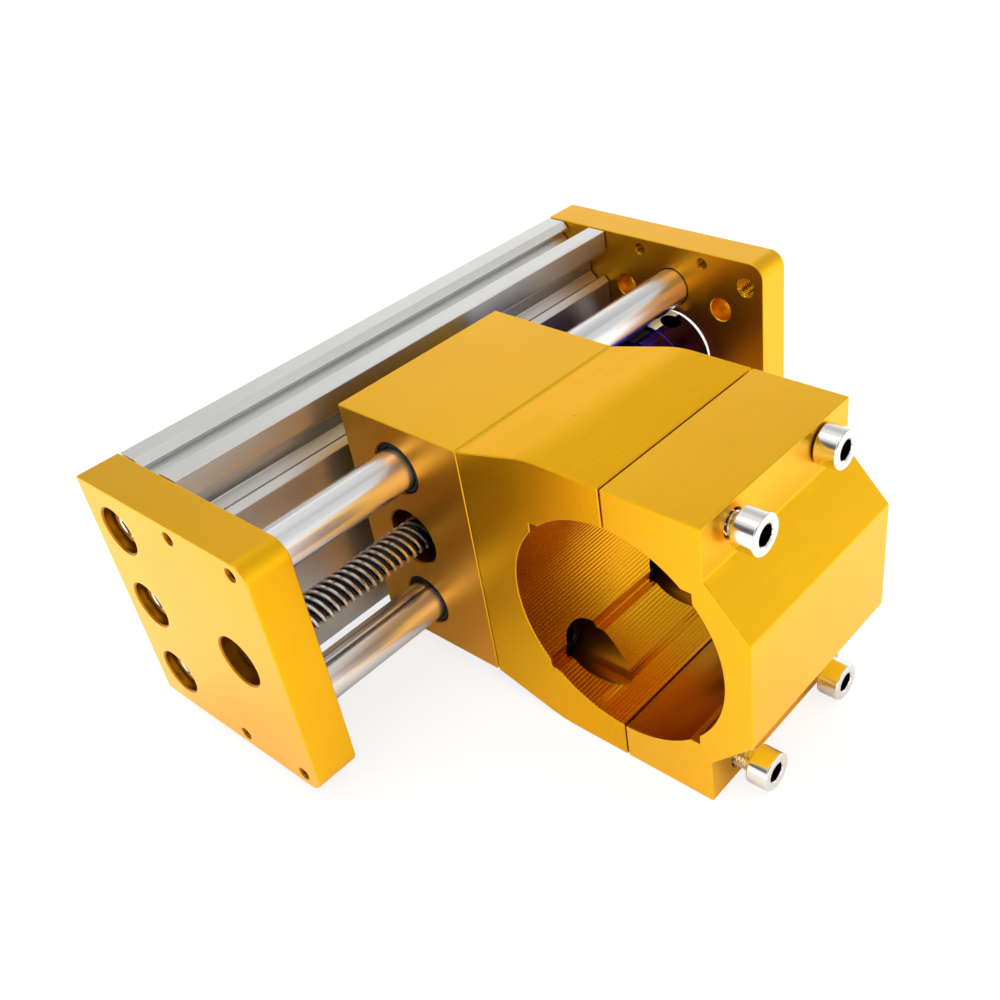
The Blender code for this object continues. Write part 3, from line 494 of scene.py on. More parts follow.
def geometry_tree(name, sockets):
    """A new tree with a named input for each socket; its inputs and its output."""
    tree = bpy.data.node_groups.new(name, "GeometryNodeTree")
    tree.is_modifier = True
    tree.interface.new_socket("Geometry", in_out="OUTPUT", socket_type="NodeSocketGeometry")
    for label, kind in sockets.items():
        tree.interface.new_socket(label, in_out="INPUT", socket_type=f"NodeSocket{kind}")
    return tree, tree.nodes.new("NodeGroupInput").outputs, tree.nodes.new("NodeGroupOutput").inputs


def grown(name, tree, values, mesh=None):
    """Run a tree on a mesh and keep the result as a plain object."""
    piece = linked(name, mesh or bpy.data.meshes.new(name))
    modifier = piece.modifiers.new(tree.name, "NODES")
    modifier.node_group = tree
    for item in tree.interface.items_tree:
        if item.in_out == "INPUT" and item.name in values:
            modifier[item.identifier] = values[item.name]
    return baked(piece)


def covered(tree, made, material):
    """What a node made, realized and with its material."""
    plain = add_node(tree, "GeometryNodeRealizeInstances", {0: made.outputs[0]})
    return add_node(tree, "GeometryNodeSetMaterial", {
        "Geometry": plain.outputs[0], "Material": material}).outputs[0]


def make_thread_tree():
    """A threaded rod along Z: a fine cylinder whose radius follows the turns of a helix."""
    tree, given, result = geometry_tree("Screw Thread", {
        "Length": "Float", "Root Radius": "Float", "Crest Radius": "Float", "Pitch": "Float",
        "Starts": "Int", "Facets": "Int", "Rows": "Int", "Chamfer": "Float", "Material": "Material"})
    turns = calculate(tree, "DIVIDE", given["Length"], given["Pitch"])
    rows = calculate(tree, "ROUND", times(tree, turns, given["Rows"]))
    body = add_node(tree, "GeometryNodeMeshCylinder", {
        "Vertices": given["Facets"], "Side Segments": rows, "Radius": 1.0, "Depth": given["Length"],
    }, fill_type="TRIANGLE_FAN")
    place = add_node(tree, "ShaderNodeSeparateXYZ", {
        0: add_node(tree, "GeometryNodeInputPosition").outputs[0]}).outputs
    step = plus(tree, place["Z"], times(tree, given["Length"], 0.5))
    angle = calculate(tree, "ARCTAN2", place["Y"], place["X"])
    turn = times(tree, calculate(tree, "DIVIDE", angle, math.tau), given["Starts"])
    phase = calculate(tree, "FRACT", minus(tree, calculate(tree, "DIVIDE", step, given["Pitch"]), turn))
    ridge = times(tree, calculate(tree, "ABSOLUTE", minus(tree, phase, 0.5)), 2.0)
    height = calculate(tree, "MULTIPLY", minus(tree, ridge, 0.28), 2.6, clamp=True)
    tall = minus(tree, given["Crest Radius"], given["Root Radius"])
    radius = plus(tree, given["Root Radius"], times(tree, tall, height))
    from_end = calculate(tree, "MINIMUM", step, minus(tree, given["Length"], step))
    limit = plus(tree, from_end, minus(tree, given["Crest Radius"], given["Chamfer"]))
    radius = calculate(tree, "MINIMUM", radius, limit)
    sides = [times(tree, place[axis], radius) for axis in "XY"]
    moved = add_node(tree, "GeometryNodeSetPosition", {
        "Geometry": body.outputs["Mesh"],
        "Position": add_node(tree, "ShaderNodeCombineXYZ", {
            "X": sides[0], "Y": sides[1], "Z": step}).outputs[0]})
    split = add_node(tree, "GeometryNodeTriangulate", {"Mesh": moved.outputs[0]}, quad_method="FIXED")
    tree.links.new(covered(tree, split, given["Material"]), result[0])
    return tree


def make_pattern_tree():
    """One copy of a shape on each point, turned to face along the point's own direction."""
    tree, given, result = geometry_tree("Pattern", {
        "Points": "Geometry", "Shape": "Object", "Metal": "Material", "Socket": "Material"})
    facing = add_node(tree, "GeometryNodeInputNamedAttribute", {"Name": "facing"}, data_type="FLOAT_VECTOR")
    turn = add_node(tree, "FunctionNodeAlignRotationToVector", {"Vector": facing.outputs[0]}, axis="Z")
    shape = add_node(tree, "GeometryNodeObjectInfo", {"Object": given["Shape"], "As Instance": True})
    copies = add_node(tree, "GeometryNodeInstanceOnPoints", {
        "Points": given["Points"], "Instance": shape.outputs["Geometry"], "Rotation": turn.outputs[0]})
    # Faces inside the sockets take the Socket material; on nickel screws that dark oxide is a painted shade
    inside = add_node(tree, "GeometryNodeInputNamedAttribute", {"Name": "in_socket"}, data_type="BOOLEAN")
    dark = add_node(tree, "GeometryNodeSetMaterial", {
        "Geometry": covered(tree, copies, given["Metal"]), "Selection": inside.outputs[0],
        "Material": given["Socket"]})
    tree.links.new(dark.outputs[0], result[0])
    return tree


def make_ball_tree():
    """Balls spaced evenly on a circle about Z."""
    tree, given, result = geometry_tree("Ball Row", {
        "Count": "Int", "Circle Radius": "Float", "Ball Radius": "Float", "Material": "Material"})
    circle = add_node(tree, "GeometryNodeMeshCircle", {
        "Vertices": given["Count"], "Radius": given["Circle Radius"]})
    ball = add_node(tree, "GeometryNodeMeshIcoSphere", {"Radius": given["Ball Radius"], "Subdivisions": 4})
    copies = add_node(tree, "GeometryNodeInstanceOnPoints", {
        "Points": circle.outputs[0], "Instance": ball.outputs["Mesh"]})
    tree.links.new(covered(tree, copies, given["Material"]), result[0])
    return tree


def tree_named(name, maker):
    """A node tree that is made once and then shared."""
    return bpy.data.node_groups.get(name) or maker()


def turned_to(piece, start, axis):
    """Move a piece that was made along Z to its place, to lie along an axis."""
    turn = axis.to_track_quat("Z", "Y").to_matrix().to_4x4()
    piece.data.transform(Matrix.Translation(start) @ turn)


def threaded(name, start, axis, length, root, crest, pitch, facets=24, rows=8, starts=1, chamfer=0.0):
    """A threaded rod from start along an axis."""
    piece = grown(name, tree_named("Screw Thread", make_thread_tree), {
        "Length": length, "Root Radius": root, "Crest Radius": crest, "Pitch": pitch, "Starts": starts,
        "Facets": facets, "Rows": rows, "Chamfer": chamfer})
    turned_to(piece, start, axis)
    piece.data.materials.clear()
    return piece


def repeated(name, shape, places, facing, metal=None, socket=None):
    """Copies of a shape that points along Z, one at each place, in one mesh."""
    points = bpy.data.meshes.new(name)
    points.from_pydata([tuple(place) for place in places], [], [])
    direction = points.attributes.new("facing", "FLOAT_VECTOR", "POINT")
    for item in direction.data:
        item.vector = facing
    values = {"Shape": shape, "Metal": metal, "Socket": socket}
    piece = grown(name, tree_named("Pattern", make_pattern_tree),
                  {key: value for key, value in values.items() if value}, points)
    if metal is None:
        piece.data.materials.clear()
    return piece


def new_material(name, metallic=1.0):
    """A material with its shader and the piece's own coordinates."""
    material = bpy.data.materials.new(name)
    material.use_nodes = True
    tree = material.node_tree
    shader = tree.nodes["Principled BSDF"]
    shader.inputs["Metallic"].default_value = metallic
    place = add_node(tree, "ShaderNodeTexCoord").outputs["Object"]
    return material, tree, shader, place


def scaled(colour, share):
    """A colour with another share of its light."""
    return tuple(channel * share for channel in colour)


def noise(tree, place, scale, detail=2.0, stretch=(1.0, 1.0, 1.0)):
    """Noise whose grain may be stretched, from 0 to 1."""
    spread = add_node(tree, "ShaderNodeMapping", {"Vector": place, "Scale": stretch})
    return add_node(tree, "ShaderNodeTexNoise", {
        "Vector": spread.outputs[0], "Scale": scale, "Detail": detail}).outputs["Fac"]


def between(tree, share, first, second):
    """A value that goes from first to second as a share goes from 0 to 1."""
    return add_node(tree, "ShaderNodeMapRange", {
        "Value": share, "To Min": first, "To Max": second}).outputs[0]


def blended(tree, share, first, second):
    """Two colours mixed by a share."""
    mix = add_node(tree, "ShaderNodeMix", {"Factor": share}, data_type="RGBA")
    for socket, value in ((mix.inputs[6], first), (mix.inputs[7], second)):
        if isinstance(value, bpy.types.NodeSocket):
            tree.links.new(value, socket)
        else:
            socket.default_value = (*value, 1.0)
    return mix.outputs[2]


def finished(tree, shader, colour, roughness):
    """Give a shader its colour and roughness."""
    tree.links.new(colour, shader.inputs["Base Color"])
    tree.links.new(roughness, shader.inputs["Roughness"])


def raised(tree, shader, height, depth=FINE_BUMP):
    """Bump a shader by a height from 0 to 1 that stands for a depth in metres."""
    bump = add_node(tree, "ShaderNodeBump", {"Height": height, "Distance": depth, "Strength": 1.0})
    tree.links.new(bump.outputs[0], shader.inputs["Normal"])


def scuff_share(tree, place):
    """Sparse small marks: ragged spots at the middle of a few cells of a cell pattern."""
    ragged = noise(tree, place, 2600.0, 2.0, (1.0, 1.0, 0.5))
    cells = add_node(tree, "ShaderNodeTexVoronoi", {"Vector": place, "Scale": 85.0, "Randomness": 1.0})
    pick = add_node(tree, "ShaderNodeSeparateColor", {0: cells.outputs["Color"]}).outputs[0]
    chosen = calculate(tree, "GREATER_THAN", pick, 0.55)
    near = calculate(tree, "LESS_THAN", cells.outputs["Distance"], 0.10)
    broken_up = calculate(tree, "LESS_THAN", ragged, 0.43)
    return times(tree, times(tree, chosen, near), broken_up)


def gold_material(name, finishes, lines=0.0, grain=0.35, roughness=None, shade=(1.0, 1.0, 1.0), edge=None,
                  bore=None):
    """Satin gold anodising, with milling lines along the rods where a face has them."""
    material, tree, shader, place = new_material(name)
    colour = tuple(channel * part for channel, part in zip(finishes.gold, shade))
    cloud = noise(tree, place, 45.0, 3.0)
    streaks = noise(tree, place, 1.0, 2.0, (90.0, 1600.0, 1600.0))
    speckle = noise(tree, place, 1900.0, 2.0)
    wear = plus(tree, times(tree, cloud, 0.5), times(tree, minus(tree, streaks, 0.5), 0.55 * lines))
    tint = blended(tree, wear, colour, scaled(colour, 0.82))
    base = finishes.gold_rough if roughness is None else roughness
    finished(tree, shader, blended(tree, scuff_share(tree, place), tint, (0.20, 0.10, 0.02)),
             between(tree, cloud, base - 0.03, base + 0.05))
    height = plus(tree, times(tree, streaks, lines), times(tree, speckle, grain))
    if bore:
        height = plus(tree, height, milling_passes(tree, place, bore))
    raised(tree, shader, height)
    if edge:
        shader.inputs["Specular Tint"].default_value = (*edge, 1.0)
    return material


def milling_passes(tree, place, clamp):
    """Height of the cutter's passes along the rear half of the spindle bore."""
    centre = at(0.0, clamp.bore_forward)
    axes = add_node(tree, "ShaderNodeSeparateXYZ", {0: place}).outputs
    turn = calculate(tree, "ARCTAN2", minus(tree, centre.z, axes["Z"]), minus(tree, axes["Y"], centre.y))
    step = times(tree, turn, clamp.bore / 2 / clamp.pass_width)
    wave = calculate(tree, "ABSOLUTE", calculate(tree, "SINE", times(tree, step, math.pi)))
    return times(tree, wave, -clamp.pass_height / FINE_BUMP)


def metal_material(name, colour, roughness, stretch=(1.0, 1.0, 1.0), scale=900.0, depth=0.002 * MM,
                   spread=0.05, edge=(1.0, 1.0, 1.0)):
    """A bare or plated metal with fine marks drawn out in one direction."""
    material, tree, shader, place = new_material(name)
    marks = noise(tree, place, scale, 3.0, stretch)
    cloud = noise(tree, place, 60.0, 2.0)
    finished(tree, shader, blended(tree, cloud, colour, scaled(colour, 0.90)),
             between(tree, marks, roughness, roughness + spread))
    raised(tree, shader, marks, depth)
    shader.inputs["Specular Tint"].default_value = (*edge, 1.0)
    return material


def ground_material(name, colour, roughness):
    """Ground steel: its marks run round the axis along X, so that reflections smear along it."""
    material, tree, shader, place = new_material(name)
    marks = noise(tree, place, 3000.0, 2.0, (1.0, 0.05, 0.05))
    cloud = noise(tree, place, 30.0, 2.0)
    finished(tree, shader, blended(tree, cloud, colour, scaled(colour, 0.93)),
             between(tree, marks, roughness, roughness + 0.06))
    along = normal = add_node(tree, "ShaderNodeNewGeometry").outputs["Normal"]
    for other in (tuple(ALONG), normal):
        along = add_node(tree, "ShaderNodeVectorMath", {0: along, 1: other},
                         operation="CROSS_PRODUCT").outputs[0]
    tree.links.new(along, shader.inputs["Tangent"])
    shader.inputs["Anisotropic"].default_value = 0.8
    return material


def polymer_material(name, colour, roughness):
    """Dull moulded polymer with a fine grain."""
    material, tree, shader, place = new_material(name, metallic=0.0)
    grain = noise(tree, place, 2500.0, 2.0)
    pale = tuple(channel + 0.012 for channel in colour)
    finished(tree, shader, blended(tree, grain, colour, pale),
             between(tree, grain, roughness, roughness + 0.12))
    raised(tree, shader, grain)
    shader.inputs["Specular IOR Level"].default_value = 0.2
    return material


def screw_material(name, finishes, sizes):
    """Rolled steel, darkened between the crests by painted shade."""
    material, tree, shader, place = new_material(name)
    axis = at(0.0, ROD_PLANE)
    offset = add_node(tree, "ShaderNodeMapping", {
        "Vector": place, "Location": (0.0, -axis.y, -axis.z), "Scale": (0.0, 1.0, 1.0)})
    reach = add_node(tree, "ShaderNodeVectorMath", {0: offset.outputs[0]}, operation="LENGTH")
    crest, root = sizes.screw / 2, sizes.screw_root / 2
    share = add_node(tree, "ShaderNodeMapRange", {
        "Value": reach.outputs["Value"], "From Min": root + 0.45 * (crest - root),
        "From Max": root + 0.9 * (crest - root)})
    marks = noise(tree, place, 700.0, 3.0)
    # Painted shade: the steel turns nearly black towards the thread's root
    tint = blended(tree, share.outputs[0], scaled(finishes.steel, 0.06), tuple(finishes.steel))
    finished(tree, shader, tint, between(tree, marks, 0.16, 0.34))
    raised(tree, shader, marks, 0.004 * MM)
    return material


def material_named(name, maker, *values, **options):
    """A material that is made once and then shared."""
    return bpy.data.materials.get(name) or maker(name, *values, **options)


GOLDS = {
    "gold": {},
    # Faces that keep their milling lines
    "gold_milled": {"lines": 0.9, "grain": 0.8},
    # The rear jaw, whose lines break up the shine of its slopes, with a painted shade that makes it darker
    # than the plain gold
    "gold_rough_milled": {"lines": 1.6, "grain": 1.4, "shade": (0.93, 0.89, 0.8), "edge": (1.0, 0.9, 0.62)},
    # The front half of the spindle bore, smooth, and darkened with painted shade
    "gold_bored": {"grain": 1.0, "roughness": 0.26, "shade": (0.48, 0.37, 0.9)},
    # The rear half of the spindle bore, which keeps the cutter's passes, darkened with painted shade
    "gold_pass_milled": {"lines": 0.6, "grain": 1.8, "roughness": 0.24, "shade": (0.84, 0.70, 0.8)},
    # Faces that look at each other along the rods, with painted shade: darker and more orange than outside
    "gold_inner": {"shade": (0.9, 0.72, 1.0)},
    # The long chamfers at the carriage's front, with a painted highlight: paler and brighter than the gold
    "gold_edge": {"roughness": 0.5, "shade": (1.05, 1.75, 8.0)},
    # Walls of drilled holes, darkened with painted shade
    "gold_hollow": {"grain": 1.5, "roughness": 0.36, "shade": (0.50, 0.36, 0.6)},
}


def gold(finishes, name="gold", **more):
    """One of the finishes of the gold parts."""
    return material_named(name, gold_material, finishes, **GOLDS[name], **more)


def nickel(finishes):
    return material_named("nickel", metal_material, tuple(finishes.nickel), finishes.nickel_rough)


def black_steel(finishes):
    return material_named("black_steel", metal_material, tuple(finishes.oxide), 0.30)


def bearing_steel(finishes):
    return material_named("bearing_steel", metal_material, tuple(finishes.chrome), 0.16)


def across_rods(plane):
    """A test for the flat faces that lie across the rods at one plane."""
    def test(place, normal):
        return abs(normal.x) > 0.99 and abs(place.x - plane) < 0.02 * MM
    return test


def thread_bottoms(places, least, most):
    """A test for the grooves of the threads at some places, which hold less light than the crests."""
    def test(place, normal):
        return abs(normal.x) < 0.95 and any(
            least < math.hypot(place.y - centre.y, place.z - centre.z) < most for centre in places)
    return test


def front_edges(place, normal):
    """A test for the two long chamfers at the carriage's front, which get a painted highlight."""
    return normal.y < -0.6 and abs(normal.z) > 0.6


def slot_outline(sizes):
    """One slot as (sideways, depth) points, from one side of its mouth to the other."""
    widths = (sizes.mouth, sizes.throat, sizes.cavity, sizes.floor)
    mouth, throat, cavity, floor = (width / 2 for width in widths)
    knee = sizes.depth - (cavity - floor)
    half = [(mouth, 0.0), (throat, mouth - throat), (throat, sizes.lip), (cavity, sizes.lip),
            (cavity, knee), (floor, sizes.depth)]
    return [(-side, depth) for side, depth in half] + [(side, depth) for side, depth in reversed(half)]


def profile_outline(sizes):
    """The profile's section: three slots on both wide faces and one on each edge."""
    extent = size("back_profile")
    half, deep = extent.z / 2, extent.y
    slot = slot_outline(sizes)
    centres = (-sizes.slot_pitch, 0.0, sizes.slot_pitch)
    back = [(depth, centre + side) for centre in centres for side, depth in slot]
    front = [(deep - depth, centre - side) for centre in reversed(centres) for side, depth in slot]
    top = [(deep / 2 + side, half - depth) for side, depth in slot]
    bottom = [(deep / 2 - side, -half + depth) for side, depth in slot]
    return [(0.0, -half), *back, (0.0, half), *top, (deep, half), *front, (deep, -half), *bottom]


def mirrored(outline):
    """An outline's other half, from its end back to its start."""
    return [(forward, -across) for forward, across in reversed(outline)]


def rounded_corner(corner, before, after, radius, steps=10):
    """Points that round a corner between two straight edges."""
    corner, before, after = Vector(corner), Vector(before), Vector(after)
    to_before, to_after = (before - corner).normalized(), (after - corner).normalized()
    half = to_before.angle(to_after) / 2
    centre = corner + (to_before + to_after).normalized() * radius / math.sin(half)
    first = corner + to_before * radius / math.tan(half) - centre
    last = corner + to_after * radius / math.tan(half) - centre
    return [tuple(centre + first.slerp(last, step / steps) * radius) for step in range(steps + 1)]


def plate_outline(depth, sizes):
    """An end plate: square at the back, rounded at its two front corners."""
    half = size("idle_end_plate").z / 2
    back, front = (0.0, half), (depth, half)
    upper = [back, *rounded_corner(front, back, (depth, 0.0), sizes.corner, 16)]
    return upper + mirrored(upper)


def hole(name, mouth, axis, diameter, depth, rim, through=False, facets=SMALL_FACETS):
    """Cutter of a drilled hole with a countersunk mouth, on both sides if it goes through."""
    radius = diameter / 2
    outline = [(-OVERCUT, 0.0), (-OVERCUT, radius + rim), (0.0, radius + rim), (rim, radius)]
    if through:
        outline += [(depth - rim, radius), (depth, radius + rim), (depth + OVERCUT, radius + rim),
                    (depth + OVERCUT, 0.0)]
    else:
        outline += [(depth, radius), (depth + radius / 3, 0.0)]
    return turned(name, outline, mouth, axis, facets)


def stepped_hole(name, mouth, axis, wide, wide_depth, narrow, depth, rim, facets=ROUND_FACETS):
    """Cutter of a counterbored hole with a countersunk mouth."""
    big, small = wide / 2, narrow / 2
    outline = [(-OVERCUT, 0.0), (-OVERCUT, big + rim), (0.0, big + rim), (rim, big), (wide_depth, big),
               (wide_depth, small + rim / 2), (wide_depth + rim / 2, small), (depth, small), (depth, 0.0)]
    return turned(name, outline, mouth, axis, facets)


def countersink(radius, rim, past):
    """Outline of a hole's countersunk mouth that ends a little inside the hole."""
    return [(-OVERCUT, 0.0), (-OVERCUT, radius + rim), (0.0, radius + rim), (rim + past, radius - past),
            (rim + past, 0.0)]


def tapped_holes(name, places, axis, thickness, major, pitch, rim, far_rim=True):
    """Cutters of threaded holes right through a plate, one at each place."""
    depth = thickness + 2 * OVERCUT
    thread = threaded(f"{name}_thread", Vector(), ACROSS, depth, major / 2 - 0.54 * pitch, major / 2, pitch,
                      facets=20, rows=6)
    starts = [place - axis * OVERCUT for place in places]
    near = turned(f"{name}_near", countersink(major / 2, rim, pitch / 2), Vector(), ACROSS, SMALL_FACETS)
    cutters = [repeated(f"{name}_threads", thread, starts, axis),
               repeated(f"{name}_mouths", near, places, axis)]
    if far_rim:
        cutters.append(repeated(f"{name}_ends", near, [place + axis * thickness for place in places], -axis))
    for shape in (thread, near):
        bpy.data.objects.remove(shape)
    return cutters


def accessory_places(sizes, start):
    """Small threads of an end plate."""
    half_pitch, half_span = sizes.accessory_pitch / 2, sizes.accessory_spacing / 2
    return [at(start, ROD_PLANE + forward, across)
            for forward in (-half_pitch, half_pitch) for across in (-half_span, half_span)]


def plate_blank(label, name, sizes, outward):
    """What both end plates share: the block, rod sockets, plate screw holes and small threads."""
    lowest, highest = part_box(name)
    start, end = ends_along(name)
    plate = broken(prism(label, plate_outline(highest.y - lowest.y, sizes), start, end), sizes.edge)
    plate.data.materials.append(gold(bpy.context.scene.zaxis_finishes))
    outer, inner = (start, end) if outward.x < 0 else (end, start)
    cutters = []
    for node in RODS:
        across = middle(node).z - Z_MIDDLE
        cutters.append(hole(f"{name}_socket", at(inner, ROD_PLANE, across), outward,
                            size(node).z + 2 * SEAT_GAP, ROD_SOCKET_DEPTH, sizes.rim / 2,
                            facets=ROUND_FACETS))
    for node in numbered("profile_screw_idle", 3):
        across = middle(node).z - Z_MIDDLE
        cutters.append(stepped_hole(f"{name}_bore", at(outer, sizes.screw_forward, across), -outward,
                                    sizes.screw_bore, sizes.screw_bore_depth, M5_PASS,
                                    end - start + OVERCUT, sizes.rim))
    cutters += tapped_holes(f"{name}_accessory", accessory_places(sizes, outer), -outward, end - start,
                            M3, M3_PITCH, M3_RIM)
    return plate, cutters


def cap_screw_shape(name, head, height, key, shank, pitch, length, chamfer=0.45 * MM):
    """A socket head screw along +Z: its head below the seat at zero, its thread above it."""
    radius = head / 2
    outline = [(-height, 0.0), (-height, radius), (0.0, radius), (0.0, shank / 2 - 0.1 * MM),
               (2 * pitch, shank / 2 - 0.1 * MM), (2 * pitch, 0.0)]
    body = broken(turned(name, outline, Vector(), ACROSS, ROUND_FACETS), chamfer, 4)
    thread = threaded(f"{name}_thread", ACROSS * pitch, ACROSS, length - pitch, shank / 2 - 0.5 * pitch,
                      shank / 2, pitch, facets=24, rows=8, chamfer=0.6 * pitch)
    corners = key / math.cos(math.pi / 6) / 2
    rim = 0.18 * MM
    top = ACROSS * -height
    hexagon = key_socket(f"{name}_key", key, 0.55 * height, top)
    mouth = turned(f"{name}_mouth", countersink(corners, rim, 0.1 * MM), top, ACROSS, ROUND_FACETS)
    carved(body, hexagon, mouth, joined=[thread])
    return mark_socket(shaded(body), -height + rim, corners)


def key_socket(name, key, depth, top):
    """Cutter of a hexagon socket with a drilled floor."""
    corners = key / math.cos(math.pi / 6) / 2
    return turned(name, [(-OVERCUT, 0.0), (-OVERCUT, corners), (depth, corners), (depth + key * 0.25, 0.0)],
                  top, ACROSS, 6)


def mark_socket(screw, top, reach):
    """Mark the faces inside a screw's hexagon socket, which lies round the Z axis above a height. They take
    the socket material: on the nickel screws, black oxide as a painted shade.
    """
    inside = screw.data.attributes.new("in_socket", "BOOLEAN", "FACE")
    for face, item in zip(screw.data.polygons, inside.data):
        centre = face.center
        item.value = top < centre.z < 0 and math.hypot(centre.x, centre.y) < reach
    return screw


def wide_screw(sizes, length):
    return cap_screw_shape("wide_screw", sizes.wide_head, sizes.wide_height, sizes.wide_key, M5,
                           sizes.wide_pitch, length)


def set_screw_shape(name, key, shank, pitch, length):
    """A headless screw along +Z, its socket at zero."""
    body = threaded(name, Vector(), ACROSS, length, shank / 2 - 0.5 * pitch, shank / 2, pitch,
                    facets=24, rows=8, chamfer=0.6 * pitch)
    return shaded(carved(body, key_socket(f"{name}_key", key, key, Vector())))


def driven(name, shape, places, facing, metal, nodes, socket=None):
    """Screws that stand for CAD nodes, one at each place; the shape that they copy is dropped."""
    screws = repeated(name, shape, places, facing, metal, socket)
    bpy.data.objects.remove(shape)
    slot = "nickel_screw" if metal.name == "nickel" else "black_screw"
    settled(screws, slot, *nodes)


class ZAXIS_OT_profile(bpy.types.Operator):
    """Make the slotted aluminium profile"""
    bl_idname = "zaxis.profile"
    bl_label = "Slotted Profile"

    def execute(self, context):
        sizes, finishes = context.scene.zaxis_profile, context.scene.zaxis_finishes
        start, end = ends_along("back_profile")
        deep = high("back_profile").y - low("back_profile").y
        profile = broken(prism("slotted_profile", profile_outline(sizes), start, end), sizes.edge)
        cutters = [rod("core", at(start - OVERCUT, deep / 2, across), ALONG, sizes.core / 2,
                       end - start + 2 * OVERCUT) for across in (-sizes.slot_pitch, 0.0, sizes.slot_pitch)]
        for middle_across in (-sizes.slot_pitch / 2, sizes.slot_pitch / 2):
            wide, long = sizes.chamber_width / 2, sizes.chamber_depth / 2
            corners = [(long, wide), (-long, wide), (-long, -wide), (long, -wide)]
            outline = []
            for number, corner in enumerate(corners):
                outline += rounded_corner(corner, corners[number - 1], corners[(number + 1) % 4], 1.5 * MM, 6)
            outline = [(deep / 2 + forward, middle_across + across) for forward, across in outline]
            cutters.append(prism("chamber", outline, start - OVERCUT, end + OVERCUT))
        satin = metal_material("profile_satin", tuple(finishes.profile), finishes.profile_rough,
                               stretch=(0.02, 1.0, 1.0), scale=1100.0, depth=0.004 * MM, spread=0.08)
        settled(shaded(carved(profile, *cutters), satin), "profile_aluminium", "back_profile")
        return {"FINISHED"}


class ZAXIS_OT_idle_plate(bpy.types.Operator):
    """Make the end plate that holds the lead screw's bearing"""
    bl_idname = "zaxis.idle_plate"
    bl_label = "Idle End Plate"

    def execute(self, context):
        sizes, finishes = context.scene.zaxis_plates, context.scene.zaxis_finishes
        plate, cutters = plate_blank("idle_plate", "idle_end_plate", sizes, -ALONG)
        seat = size("bearing_outer_ring").z + 2 * SEAT_GAP
        depth = size("bearing_outer_ring").x + JOINT_GAP
        cutters.append(stepped_hole("bearing_seat", at(PLATE_THICKNESS, ROD_PLANE), -ALONG, seat, depth,
                                    sizes.window, PLATE_THICKNESS + OVERCUT, sizes.rim))
        cutters.append(turned("bearing_window_rim", countersink(sizes.window / 2, sizes.rim, sizes.rim),
                              at(0.0, ROD_PLANE), ALONG))
        carved(plate, *cutters, inside=gold(finishes, "gold_hollow"))
        painted(plate, gold(finishes, "gold_inner"), across_rods(high("idle_end_plate").x))
        settled(shaded(plate), "gold_anodised", "idle_end_plate")
        return {"FINISHED"}


class ZAXIS_OT_motor_plate(bpy.types.Operator):
    """Make the deeper end plate that carries the motor"""
    bl_idname = "zaxis.motor_plate"
    bl_label = "Motor Plate"

    def execute(self, context):
        sizes, finishes = context.scene.zaxis_plates, context.scene.zaxis_finishes
        plate, shared_cutters = plate_blank("plate_for_motor", "motor_plate", sizes, ALONG)
        inner, thickness = MOTOR_PLATE_START, size("motor_plate").x
        cutters = [hole("motor_pilot", at(inner, ROD_PLANE), ALONG, sizes.pilot, thickness, PILOT_RIM,
                        through=True, facets=WIDE_FACETS)]
        half = sizes.motor_spacing / 2
        cutters += [stepped_hole("motor_screw_hole", at(inner, ROD_PLANE + forward, across), ALONG,
                                 sizes.motor_bore, sizes.motor_bore_depth, sizes.motor_hole,
                                 thickness + OVERCUT, sizes.rim * 0.6, SMALL_FACETS)
                    for forward in (-half, half) for across in (-half, half)]
        corners = [at(inner, sizes.thread_forward, across)
                   for across in (-sizes.thread_across, sizes.thread_across)]
        cutters += tapped_holes("corner", corners, ALONG, thickness, M5, M5_PITCH, M5_RIM, far_rim=False)
        # Painted shade: a darker gold for the hole walls and the threads' grooves
        hollow = gold(finishes, "gold_hollow")
        carved(plate, *shared_cutters, inside=hollow)
        carved(plate, *cutters)
        painted(plate, gold(finishes, "gold_inner"), across_rods(low("motor_plate").x))
        # Painted shade in the grooves of the corner threads, so that their turns show
        painted(plate, hollow, thread_bottoms(corners, *M5_GROOVES))
        settled(shaded(plate), "gold_anodised", "motor_plate")
        return {"FINISHED"}


class ZAXIS_OT_guide_rods(bpy.types.Operator):
    """Make the two ground guide rods"""
    bl_idname = "zaxis.guide_rods"
    bl_label = "Guide Rods"

    def execute(self, context):
        finishes = context.scene.zaxis_finishes
        chrome = ground_material("rod_chrome", tuple(finishes.chrome), finishes.chrome_rough)
        for node in RODS:
            lowest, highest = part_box(node)
            shaft = rod(f"{node}_ground", on_axis(lowest.x, node), ALONG, (highest.z - lowest.z) / 2,
                        highest.x - lowest.x, WIDE_FACETS)
            settled(shaded(broken(shaft, 0.5 * MM), chrome), "ground_rod", node)
        return {"FINISHED"}


class ZAXIS_OT_lead_screw(bpy.types.Operator):
    """Make the lead screw with its multiple-start thread"""
    bl_idname = "zaxis.lead_screw"
    bl_label = "Lead Screw"

    def execute(self, context):
        sizes, finishes = context.scene.zaxis_drive, context.scene.zaxis_finishes
        lowest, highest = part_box("lead_screw")
        screw = threaded("lead_screw_thread", on_axis(lowest.x, "lead_screw"), ALONG, highest.x - lowest.x,
                         sizes.screw_root / 2, sizes.screw / 2, sizes.pitch, facets=48, rows=12,
                         starts=sizes.starts, chamfer=0.6 * MM)
        steel = screw_material("screw_steel", finishes, sizes)
        settled(shaded(screw, steel), "dark_steel", "lead_screw")
        return {"FINISHED"}


